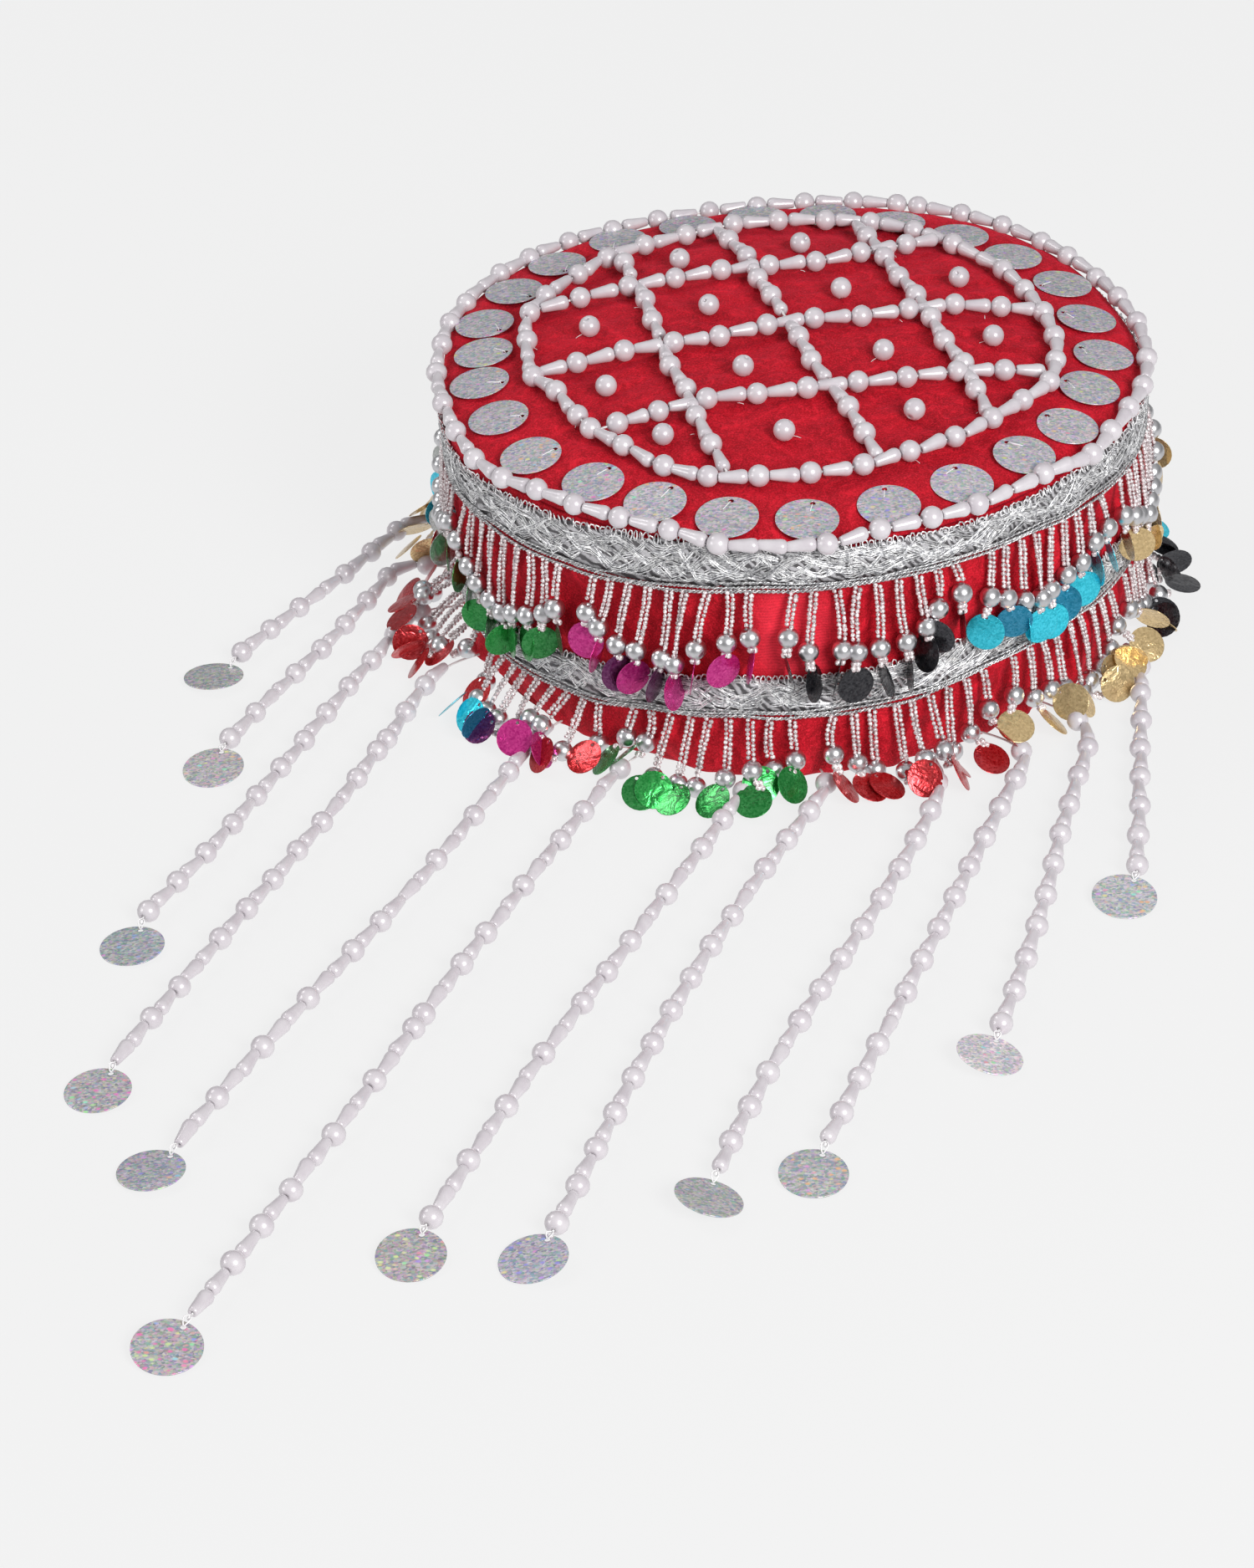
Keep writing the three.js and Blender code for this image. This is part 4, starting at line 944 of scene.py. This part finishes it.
def fringe(level, which, name, node, seed, foils, drops, leans):
    g = np.random.default_rng(seed)
    seeds, balls, discs = Soup(), Soup(), Soup()
    pitch = 2 * np.pi / GROUPS
    seed_pos, seed_dir, seed_tint = [], [], []
    ball_pos, ball_dir, clear_pos, clear_dir = [], [], [], []
    disc_pos, disc_rot, disc_tint = [], [], []
    for grp in range(GROUPS):
        start = math.radians(FIRST_GAP[level]) + (grp - 1) * pitch
        lengths = drops.get(grp, drops[-1])
        for k in range(9):
            a = start + pitch * (4.9 + 5.2 * k) / 52.4 + g.normal(0, 0.003)
            L = lengths[k] + g.normal(0, 0.3)
            lean = (leans.get(grp, leans[-1])[k] + g.normal(0, 0.45)) / L
            low = float(braid_low(which, a))
            r0 = float(band_r(a, low)) + 1.55
            z0 = low + 0.35
            tan = np.array([-math.sin(a), math.cos(a), 0.0])
            out = np.array([math.cos(a), math.sin(a), 0.0])
            top = out * r0 + np.array([0, 0, z0])
            if level == "upper":
                zb = z0 - L * math.cos(lean)
                lowtop = float(braid_low(2, a)) + BRAID_W
                stand = 3.3 + (1.5 if zb < lowtop + 2.0 else 0.4)
                rb = float(band_r(a, zb)) + stand + abs(g.normal(0, 0.3))
                end = out * rb + tan * (L * math.sin(lean)) + np.array([0, 0, zb])
            else:
                floor = 2.72
                zb = max(z0 - L * 0.985, floor)
                spread = math.sqrt(max(L * L - (z0 - zb) ** 2, 1.0)) * 0.95
                rb = r0 + max(2.0, min(spread, 9.5))
                end = out * rb + tan * (L * math.sin(lean)) + np.array([0, 0, zb])
                end[2] += clear_of_strands(end, 5.6)
            mid = (top + end) / 2 + out * (0.9 if level == "lower" else 0.15) + tan * g.normal(0, 0.75)
            u = np.linspace(0, 1, 24)[:, None]
            path = Route(top * (1 - u) ** 2 + mid * 2 * u * (1 - u) + end * u * u)
            s = np.arange(0.45, path.length - 2.85, 1.13)
            p, d = path.at(s), path.dir(s)
            side = unit(np.cross(d, np.broadcast_to(out, d.shape)))
            face = np.cross(side, d)
            tw = g.uniform(-0.25, 0.25) + 0.04 * s * g.normal(0, 1)
            for sign in (1, -1):
                off = sign * 0.63 * (np.cos(tw)[:, None] * side + np.sin(tw)[:, None] * face)
                shift = 0.5 if sign < 0 else 0.0
                seed_pos.append(p + off + d * shift + g.normal(0, 0.05, p.shape))
                seed_dir.append(d)
                seed_tint.append(g.uniform(0.78, 1.08, len(s)))
            ball_pos.append(end)
            ball_dir.append(path.dir(path.length))
            # the clear seeds and the paillette under the ball
            down = unit(path.dir(path.length) * 0.5 + np.array([0, 0, -1.0]) + tan * g.normal(0, 0.22))
            if level == "lower":
                down = unit(out * g.uniform(0.5, 1.1) + tan * g.normal(0, 0.55) + np.array([0, 0, -0.25 if end[2] < 5 else -0.6]))
            q = end + down * 2.65
            count = 1 if g.uniform() < 0.7 else 2
            for c in range(count):
                for sign in (1, -1):
                    clear_pos.append(q + down * (0.8 + 1.4 * c) + sign * 0.55 * tan)
                    clear_dir.append(down)
            q = q + down * (1.5 * count + 0.2)
            if level == "upper":
                hang = unit(np.array([0, 0, -1.0]) + tan * g.normal(0, 0.2) + out * g.uniform(-0.02, 0.15))
                yaw = g.choice([-1, 1]) * g.uniform(0.1, 1.35)
                if grp in UPPER_YAWS:
                    yaw = math.copysign(UPPER_YAWS[grp][k], yaw)
                nrm = unit(out * math.cos(yaw) + tan * math.sin(yaw) + np.array([0, 0, g.normal(0.05, 0.12)]))
                nrm = unit(nrm - hang * (nrm @ hang))
                centre = q + hang * 3.3 + out * 0.3
            else:
                flat = g.uniform(0.25, 0.95)
                reach = unit(out * g.uniform(0.6, 1.2) + tan * g.normal(0, 0.7))
                hang = unit(reach * flat + np.array([0, 0, -0.35]))
                centre = q + hang * 3.6
                nrm = unit(np.cross(hang, np.cross(np.array([0, 0, 1.0]), hang)))
                roll = g.normal(0, 0.75)
                nrm = unit(nrm * math.cos(roll) + np.cross(hang, nrm) * math.sin(roll))
                need = 4.75 * math.sqrt(max(1 - nrm[2] ** 2, 0)) + 0.35
                lift = max(need - centre[2], clear_of_strands(centre, 4.4))
                centre[2] += max(0.0, lift)
            x = -hang
            y = np.cross(nrm, x)
            disc_pos.append(centre)
            disc_rot.append(np.stack([x, y, nrm], -1))
            c = np.array(foils[grp][k]) * g.uniform(0.8, 1.15)
            disc_tint.append((*c, 1))
    seed_pos, seed_dir = np.concatenate(seed_pos), np.concatenate(seed_dir)
    t = np.concatenate(seed_tint)
    tint = np.stack([t, t * 0.985, t * 0.99, np.ones_like(t)], -1)
    rot = turn(along(seed_dir, (0.3, 0.2, 1.0)), g.uniform(0, 6, len(seed_pos)))
    seeds.many(SEED_T, seed_pos, rot, g.uniform(0.9, 1.08, len(seed_pos))[:, None] * np.array([[1, 1, 0.92]]), 0, tint)
    seeds.many(CLEAR_T, np.array(clear_pos), along(np.array(clear_dir), (0.3, 0.2, 1.0)), None, 0, (1.05, 1.05, 1.05, 1))
    balls.many(BALL_T, np.array(ball_pos), wobble(along(np.array(ball_dir), (0.3, 0.2, 1.0)), 0.15, g))
    discs.many(SMALL_DISC, np.array(disc_pos), np.array(disc_rot), None, 0, np.array(disc_tint))
    make(f"{name}_strings", seeds, [SEED], [node])
    make(f"{name}_balls", balls, [SILVER], colours=False)
    make(f"{name}_foils", discs, [FOIL])


fringe("upper", 1, "upper_fringe", "upper_fringe", 51, UPPER_FOILS, UPPER_DROPS, UPPER_LEANS)
fringe("lower", 2, "lower_fringe", "lower_fringe", 52, LOWER_FOILS, LOWER_DROPS, LOWER_LEANS)

# ------------------------------------------------------------------ beads on threads
PEARL_T = ball(2.75, 16, 10, 0.5)
DROP_T = revolve([(-3.05, 0.4), (-3.52, 0.45), (-3.56, 0.85), (-3.45, 1.12), (-3.0, 1.26), (-1.4, 1.45), (0.4, 1.64), (1.6, 1.84),
                  (2.2, 1.86), (2.8, 1.70), (3.25, 1.34), (3.5, 0.92), (3.56, 0.5), (3.1, 0.4)], 14)


def string_beads(soup, route_at, route_dir, rows, g, jitter=0.1, tilt=0.05, dip=None):
    kinds = np.array([r[0] for r in rows])
    s = np.array([r[1] for r in rows])
    pos, dirs = route_at(s), route_dir(s)
    if dip is not None:
        pos = dip(pos)
    rot = wobble(along(dirs), tilt, g)
    side = rot[:, :, 0]
    pos = pos + side * g.normal(0, jitter, len(s))[:, None] + np.array([0, 0, 1.0]) * np.abs(g.normal(0, jitter * 0.5, len(s)))[:, None]
    flip = kinds == "b"
    rot[flip] = rot[flip] @ np.diag([1.0, -1.0, -1.0])
    round_ones, drops = kinds == "P", kinds != "P"
    if round_ones.any():
        soup.many(PEARL_T, pos[round_ones], turn(rot[round_ones], g.uniform(0, 6, round_ones.sum())), g.uniform(0.975, 1.015, round_ones.sum())[:, None])
    if drops.any():
        size = g.uniform(0.97, 1.01, drops.sum())[:, None] * np.array([[1, 1, 1.05]])
        room = np.array([r[2] for r in rows])[drops] / DROP_L
        size[:, 2] = np.where(room < 0.97, np.maximum(room * 1.05, 0.6), size[:, 2])
        soup.many(DROP_T, pos[drops], rot[drops], size)
    return pos


def stub(soup, at, direction, length, r=0.13):
    """A loose end of sewing thread."""
    d = unit(np.asarray(direction, float))
    p = np.asarray(at, float) + np.outer(np.linspace(0, length, 5), d) - np.outer(np.linspace(0, 1, 5) ** 2, [0, 0, 0.3 * length])
    up = (0.0, 0.0, 1.0) if abs(d[2]) < 0.9 else (1.0, 0.0, 0.0)
    sweep(soup, p, up, round_section(r, 4), False, None, 1)


def closed_string(name, node, r_at, z_at, pearls, seed):
    """A ring of beads: each pearl at its own azimuth, then as many drops as the way to the next holds."""
    g = np.random.default_rng(seed)
    a = math.radians(pearls[0]) + 2 * np.pi * np.arange(1441) / 1440
    r = r_at(a)
    path = Route(np.stack([r * np.cos(a), r * np.sin(a), z_at(r, a)], -1))
    place = np.interp((np.append(pearls, pearls[0] + 360) - pearls[0]) / 360 * 1440, np.arange(1441), path.d)
    rows = []
    for s0, s1 in zip(place[:-1], place[1:]):
        room = s1 - s0
        drops = max(0, round((room - PEARL) / (DROP_L - 0.2)))
        rows.append(("P", s0, PEARL))
        if drops:
            each = (room - PEARL) / drops
            rows += [("d", s0 + PEARL / 2 + each * (i + 0.5), DROP_L) for i in range(drops)]
    at = lambda s: path.at(np.asarray(s) % path.length)
    direction = lambda s: unit(at(np.asarray(s) + 1.5) - at(np.asarray(s) - 1.5))
    soup = Soup()
    pos = string_beads(soup, at, direction, rows, g, 0.12, 0.05)
    core = at(np.linspace(0, path.length, 340, endpoint=False))
    sweep(soup, core, (0, 0, 1.0), round_section(0.32, 5), True, None, 1)
    for i in np.flatnonzero([r[0] == "P" for r in rows]):
        if g.uniform() < 0.25:
            p = pos[i]
            w = g.uniform(0, 2 * np.pi)
            stub(soup, p + [2.2 * math.cos(w), 2.2 * math.sin(w), -1.6], [math.cos(w), math.sin(w), 0.25], g.uniform(0.8, 2.0), 0.08)
    return make(name, soup, [PEARLY, THREAD], [node], colours=False)


closed_string("border_beads", "border_bead_string", string_r, lambda r, a: BORDER_Z - 0.255 * sag(a), BORDER_PEARLS[:, 0], 61)
closed_string("inner_ring_beads", "inner_bead_ring", lambda a: outline("inner", a) + around(INNER_PEARLS, 1, a),
              lambda r, a: dome_z(r) + RISE, INNER_PEARLS[:, 0], 62)


def to_ring(p, q):
    """Where a string that goes on past its last pearl p, away from q, comes to the inner ring."""
    d = (p - q) / np.linalg.norm(p - q)
    t = np.arange(0, 16, 0.1)
    on = p + d * t[:, None]
    az = np.arctan2(on[:, 1], on[:, 0])
    gone = np.hypot(on[:, 0], on[:, 1]) > outline("inner", az) + np.minimum(around(INNER_PEARLS, 1, az), 0.6) - 1.6
    return on[max(int(np.argmax(gone)), int(PEARL * 5) + 2)]


def lattice():
    g = np.random.default_rng(63)
    soup = Soup()
    for row, table in enumerate(LATTICE):
        xy = np.array(table, float)
        xy = np.concatenate([to_ring(xy[0], xy[1])[None], xy, to_ring(xy[-1], xy[-2])[None]])
        # the strings from front to back pass under the others
        under = 0.25 if row > 2 else -0.15
        path = Route(np.column_stack([xy, dome_z(np.hypot(xy[:, 0], xy[:, 1])) + RISE - under]))
        rows, last = [], len(xy) - 1
        for i in range(1, last + 1):
            lo = path.d[i - 1] + (PEARL / 2 if i > 1 else 0.0)
            hi = path.d[i] - (PEARL / 2 if i < last else 0.0)
            if 1 < i < last and hi - lo > 2 * DROP_L:
                rows += [("d", lo + DROP_L / 2, DROP_L), ("d", hi - DROP_L / 2, DROP_L)]
            elif hi - lo > 2.6:
                rows.append(("d", (lo + hi) / 2, hi - lo))
            if i < last:
                rows.append(("P", path.d[i], PEARL))
        string_beads(soup, path.at, path.dir, rows, g, 0.10, 0.05)
        sweep(soup, path.at(np.linspace(0, path.length, 60)), (0, 0, 1.0), round_section(0.32, 5), False, None, 1)
        for q in path.at(g.uniform(0, path.length, 4)):
            w = g.uniform(0, 2 * np.pi)
            stub(soup, q + [1.8 * math.cos(w), 1.8 * math.sin(w), -1.8], [math.cos(w), math.sin(w), 0.15], g.uniform(0.8, 1.7), 0.09)
    return make("lattice_beads", soup, [PEARLY, THREAD], ["crown_lattice_strings"], colours=False)


lattice()

g_cell = np.random.default_rng(64)
for i, (x, y) in enumerate(CELL_PEARLS):
    soup = Soup()
    z = dome_z(math.hypot(x, y)) + RISE - 0.15
    lean = unit(np.array([[g_cell.normal(0, 0.7), g_cell.normal(0, 0.7), 1.0]]))
    soup.many(PEARL_T, np.array([[x, y, z]]), along(lean, (0.2, 1.0, 0.1)))
    for _ in range(int(g_cell.uniform() < 0.45)):
        w = g_cell.uniform(0, 2 * np.pi)
        stub(soup, [x + 2.0 * math.cos(w), y + 2.0 * math.sin(w), z - 1.9], [math.cos(w), math.sin(w), -0.1], g_cell.uniform(1.0, 2.2), 0.09)
    make(f"sewn_pearl_{i + 1:02d}", soup, [PEARLY, THREAD], [f"cell_pearl_{i + 1:02d}"], colours=False)

# ------------------------------------------------------------------ large paillettes
BIG_DISC = plate(DISC / 2, 0.24, 40, DISC / 2 - 1.55, 0.68, 0.15)
PLAIN, BLUE, ROSE, LIME, AMBER = (0.60, 0.62, 0.62), (0.35, 0.32, 0.85), (0.90, 0.22, 0.62), (0.75, 0.85, 0.25), (0.95, 0.55, 0.30)


def crown_discs():
    g = np.random.default_rng(65)
    n = 0
    for run, (start, stop) in enumerate(RUNS):
        soup = Soup()
        for i in range(start, stop):
            a = math.radians(PAILLETTES[i][0])
            r = float(min(PAILLETTES[i][1], string_r(a) - 8.8))
            out = np.array([math.cos(a), math.sin(a), 0])
            # the discs at the back lie on the fuller cloth
            full = float(rear(a))
            tilt = TILT - 0.05 * full
            c = out * r + np.array([0, 0, dome_z(r) + DISC_RISE + 0.15 + 0.4 * full])
            nrm = unit(np.array([math.sin(tilt) * out[0], math.sin(tilt) * out[1], math.cos(tilt)]) + np.append(g.normal(0, 0.012, 2), 0))
            twist = g.normal(0.30, 0.22)
            inward = -out * math.cos(twist) + np.cross([0, 0, 1.0], out) * math.sin(twist)
            x = unit(inward - nrm * (inward @ nrm))
            rot = np.stack([x, np.cross(nrm, x), nrm], -1)[None]
            front = -150 < PAILLETTES[i][0] < -15
            hue = [BLUE, ROSE, AMBER, LIME][g.integers(4)]
            amount = g.uniform(0.25, 0.5) if front else g.uniform(0.08, 0.2)
            tone = g.uniform(0.92, 1.05)
            soup.many(BIG_DISC, c[None], rot, None, 0, (0.565 * tone, 0.54 * tone, 0.595 * tone, 1), (*hue, amount))
            hole = c + x * (DISC / 2 - 1.55)
            slant = unit(-x + np.cross(nrm, x) * g.normal(0, 0.45))
            st = hole + slant * 0.5 + np.outer(np.linspace(0, g.uniform(2.6, 3.8), 6), slant) + nrm * 0.24
            sweep(soup, st, nrm, round_section(0.15, 5), False, None, 1)
            down = hole - nrm * 0.6 + np.outer(np.linspace(0, 1, 4), slant * 0.5 + nrm * 0.84)
            sweep(soup, down, unit(np.cross(nrm, slant)), round_section(0.14, 4), False, None, 1)
            n += 1
        make(f"crown_discs_{run + 1}", soup, [PAILLETTE, THREAD], [f"crown_paillettes_{run + 1}"])


crown_discs()

END_LOOKS = [
    # base grey, fleck colour, how many flecks
    ((0.46, 0.47, 0.48), PLAIN, 0.10), ((0.52, 0.50, 0.51), (0.90, 0.45, 0.62), 0.55), ((0.40, 0.43, 0.47), (0.35, 0.45, 0.85), 0.35),
    ((0.46, 0.44, 0.47), ROSE, 0.95), ((0.45, 0.44, 0.49), BLUE, 0.45), ((0.45, 0.43, 0.46), (0.97, 0.20, 0.52), 1.1),
    ((0.43, 0.40, 0.42), (0.80, 0.92, 0.45), 0.85), ((0.45, 0.45, 0.53), BLUE, 0.65), ((0.46, 0.48, 0.49), PLAIN, 0.08),
    ((0.47, 0.48, 0.50), AMBER, 0.70), ((0.80, 0.74, 0.79), (0.92, 0.50, 0.75), 0.45), ((0.55, 0.57, 0.60), AMBER, 0.65),
]

# ------------------------------------------------------------------ long strands
g_strand = np.random.default_rng(66)
for i, row in enumerate(STRANDS):
    path, lead_len, reach = strand_routes[i]
    lead, pattern = row[7], row[8]
    dx, dy, lean_deg, tip_deg = row[9:]
    half = PEARL / 2 if pattern[0] == "P" else DROP_L / 2
    rows, stop = beads(pattern, lead_len - half)
    back = sum(PEARL if c == "P" else DROP_L for c in lead)
    head, _ = beads(lead[::-1], lead_len - half - back)
    # a last pearl has its middle on the strand's end point, a last drop its end
    last_half = PEARL / 2 if pattern[-1] == "P" else 0.0
    pull = reach / (stop - lead_len - last_half)
    soup = Soup()
    pulled = lambda s: np.where(np.asarray(s) < lead_len, s, lead_len + (np.asarray(s) - lead_len) * pull)
    at = lambda s: path.at(pulled(s))
    direction = lambda s: path.dir(pulled(s))
    string_beads(soup, at, direction, head + rows, g_strand, 0.10, 0.045)
    end = at(np.array([stop + 0.2]))[0]
    nn = unit(np.array([math.sin(math.radians(tip_deg)), -math.sin(math.radians(lean_deg)), 1.0]))
    low = DISC / 2 * math.sqrt(1 - nn[2] ** 2) + 0.25 * nn[2]
    c = np.array([dx, dy, low + 0.02])
    last = np.array([row[3], row[4], 0.0])
    away = (c - last) * [1, 1, 0]
    need = DISC / 2 + last_half * pull + 0.6
    if np.linalg.norm(away) < need:
        c = last + unit(away) * need
        c[2] = low + 0.02
    # the thread through the beads, and the doubled end that holds the paillette
    sweep(soup, at(np.linspace(0.3, stop, 140)), (0, 0, 1.0), round_section(0.30, 5), False, None, 1)
    to_end = unit((end - c) * [1, 1, 0])
    x = unit(to_end - nn * (to_end @ nn))
    hole = c + x * (DISC / 2 - 1.55)
    side = np.cross(nn, x)
    for sign in (1, -1):
        u = np.linspace(0, 1, 12)[:, None]
        a0, b0 = end, hole + nn * 0.3
        loop = a0 * (1 - u) + b0 * u + side * sign * 0.8 * np.sin(np.pi * u) + np.array([0, 0, 0.7]) * np.sin(np.pi * u)
        sweep(soup, loop, (0, 0, 1.0), round_section(0.17, 5), False, None, 1)
    knot = ball(0.6, 8, 5)
    soup.many(knot, np.array([end + unit(hole - end) * 0.9]), along(np.array([[0.1, 0.2, 1.0]])), None, 1)
    idx = i + 1
    make(f"strand_beads_{idx:02d}", soup, [PEARLY, THREAD], [f"pearl_strand_{idx:02d}"], colours=False)
    disc = Soup()
    tone, hue, amount = END_LOOKS[i]
    disc.many(BIG_DISC, c[None] + nn * 0.0, np.stack([x, side, nn], -1)[None], None, 0, (*tone, 1), (*hue, amount))
    make(f"strand_disc_{idx:02d}", disc, [PAILLETTE], [f"end_paillette_{idx:02d}"])

# ------------------------------------------------------------------ floor, light and camera
floor_mesh = bpy.data.meshes.new("floor")
X = 6.0
floor_mesh.from_pydata([(-X, -X, -0.0002), (X, -X, -0.0002), (X, X, -0.0002), (-X, X, -0.0002)], [], [(0, 1, 2, 3)])
floor = bpy.data.objects.new("floor", floor_mesh)
bpy.context.scene.collection.objects.link(floor)
fm = bpy.data.materials.new("pale_floor")
fm.use_nodes = True
ft = fm.node_tree
fb = ft.nodes["Principled BSDF"]
fb.inputs["Base Color"].default_value = (0.08, 0.08, 0.08, 1)
fb.inputs["Roughness"].default_value = 1.0
fb.inputs["Specular IOR Level"].default_value = 0.0
fb.inputs["Emission Color"].default_value = (1, 1, 1, 1)
fb.inputs["Emission Strength"].default_value = 0.802
# a plane this large is better found by the light paths than sampled
fm.cycles.emission_sampling = "NONE"
floor_mesh.materials.append(fm)
# the floor lights the beads from below but does not mirror in them
floor.visible_glossy = False

world = bpy.data.worlds.new("soft_white")
world.use_nodes = True
wt = world.node_tree
wc = wt.nodes.new("ShaderNodeTexCoord")
wx = wt.nodes.new("ShaderNodeSeparateXYZ")
wt.links.new(wc.outputs["Generated"], wx.inputs[0])
ramp = wt.nodes.new("ShaderNodeValToRGB")
e = ramp.color_ramp.elements
e[0].position, e[0].color = 0.0, (1.15, 1.15, 1.16, 1)
e[1].position, e[1].color = 1.0, (0.74, 0.74, 0.75, 1)
for pos, val in ((0.36, 1.00), (0.46, 0.62), (0.51, 0.38), (0.62, 0.35), (0.78, 0.52)):
    k = e.new(pos)
    k.color = (val, val, val * 1.01, 1)
half = wt.nodes.new("ShaderNodeMath")
half.operation = "MULTIPLY_ADD"
half.inputs[1].default_value = 0.5
half.inputs[2].default_value = 0.5
wt.links.new(wx.outputs[2], half.inputs[0])
wt.links.new(half.outputs[0], ramp.inputs[0])
wt.links.new(ramp.outputs[0], wt.nodes["Background"].inputs[0])
wt.nodes["Background"].inputs[1].default_value = 0.66
bpy.context.scene.world = world


def area_light(name, direction, distance, size, power, colour=(1, 1, 1)):
    aim = Vector(AXIS) + Vector((0, -0.03, 0.05))
    d = Vector(direction).normalized()
    data = bpy.data.lights.new(name, "AREA")
    data.shape = "DISK"
    data.size = size
    data.energy = power
    data.color = colour
    o = bpy.data.objects.new(name, data)
    o.location = aim + d * distance
    o.rotation_mode = "QUATERNION"
    o.rotation_quaternion = (-d).to_track_quat("-Z", "Y")
    bpy.context.scene.collection.objects.link(o)
    return o


area_light("key", (0.40, -0.744, 0.505), 1.6, 0.72, 22.0)
area_light("left", (-0.913, -0.268, 0.28), 1.4, 0.5, 3.6)
area_light("upper_left", (-0.62, 0.30, 0.72), 1.6, 0.5, 4.0)

CAM = np.array([-23.19, -977.10, 596.90])
PITCH, YAW, ROLL, F_PX = math.radians(33.885), math.radians(-1.393), math.radians(-2.761), 5162.65
fw = Vector((math.sin(YAW) * math.cos(PITCH), math.cos(YAW) * math.cos(PITCH), -math.sin(PITCH)))
right = Vector((math.cos(YAW), -math.sin(YAW), 0))
up = right.cross(fw)
r2 = right * math.cos(ROLL) + up * math.sin(ROLL)
u2 = -right * math.sin(ROLL) + up * math.cos(ROLL)
cam_data = bpy.data.cameras.new("camera")
cam_data.sensor_fit = "HORIZONTAL"
cam_data.sensor_width = 36.0
cam_data.lens = 36.0 * F_PX / 1500.0
cam_data.clip_start, cam_data.clip_end = 0.05, 30.0
cam = bpy.data.objects.new("camera", cam_data)
m = Matrix.Identity(4)
for i in range(3):
    m[i][0], m[i][1], m[i][2] = r2[i], u2[i], -fw[i]
    m[i][3] = CAM[i] / 1000.0 + AXIS[i]
cam.matrix_world = m
bpy.context.scene.collection.objects.link(cam)
bpy.context.scene.camera = cam
bpy.context.scene.view_settings.view_transform = "Standard"
bpy.context.scene.view_settings.look = "None"
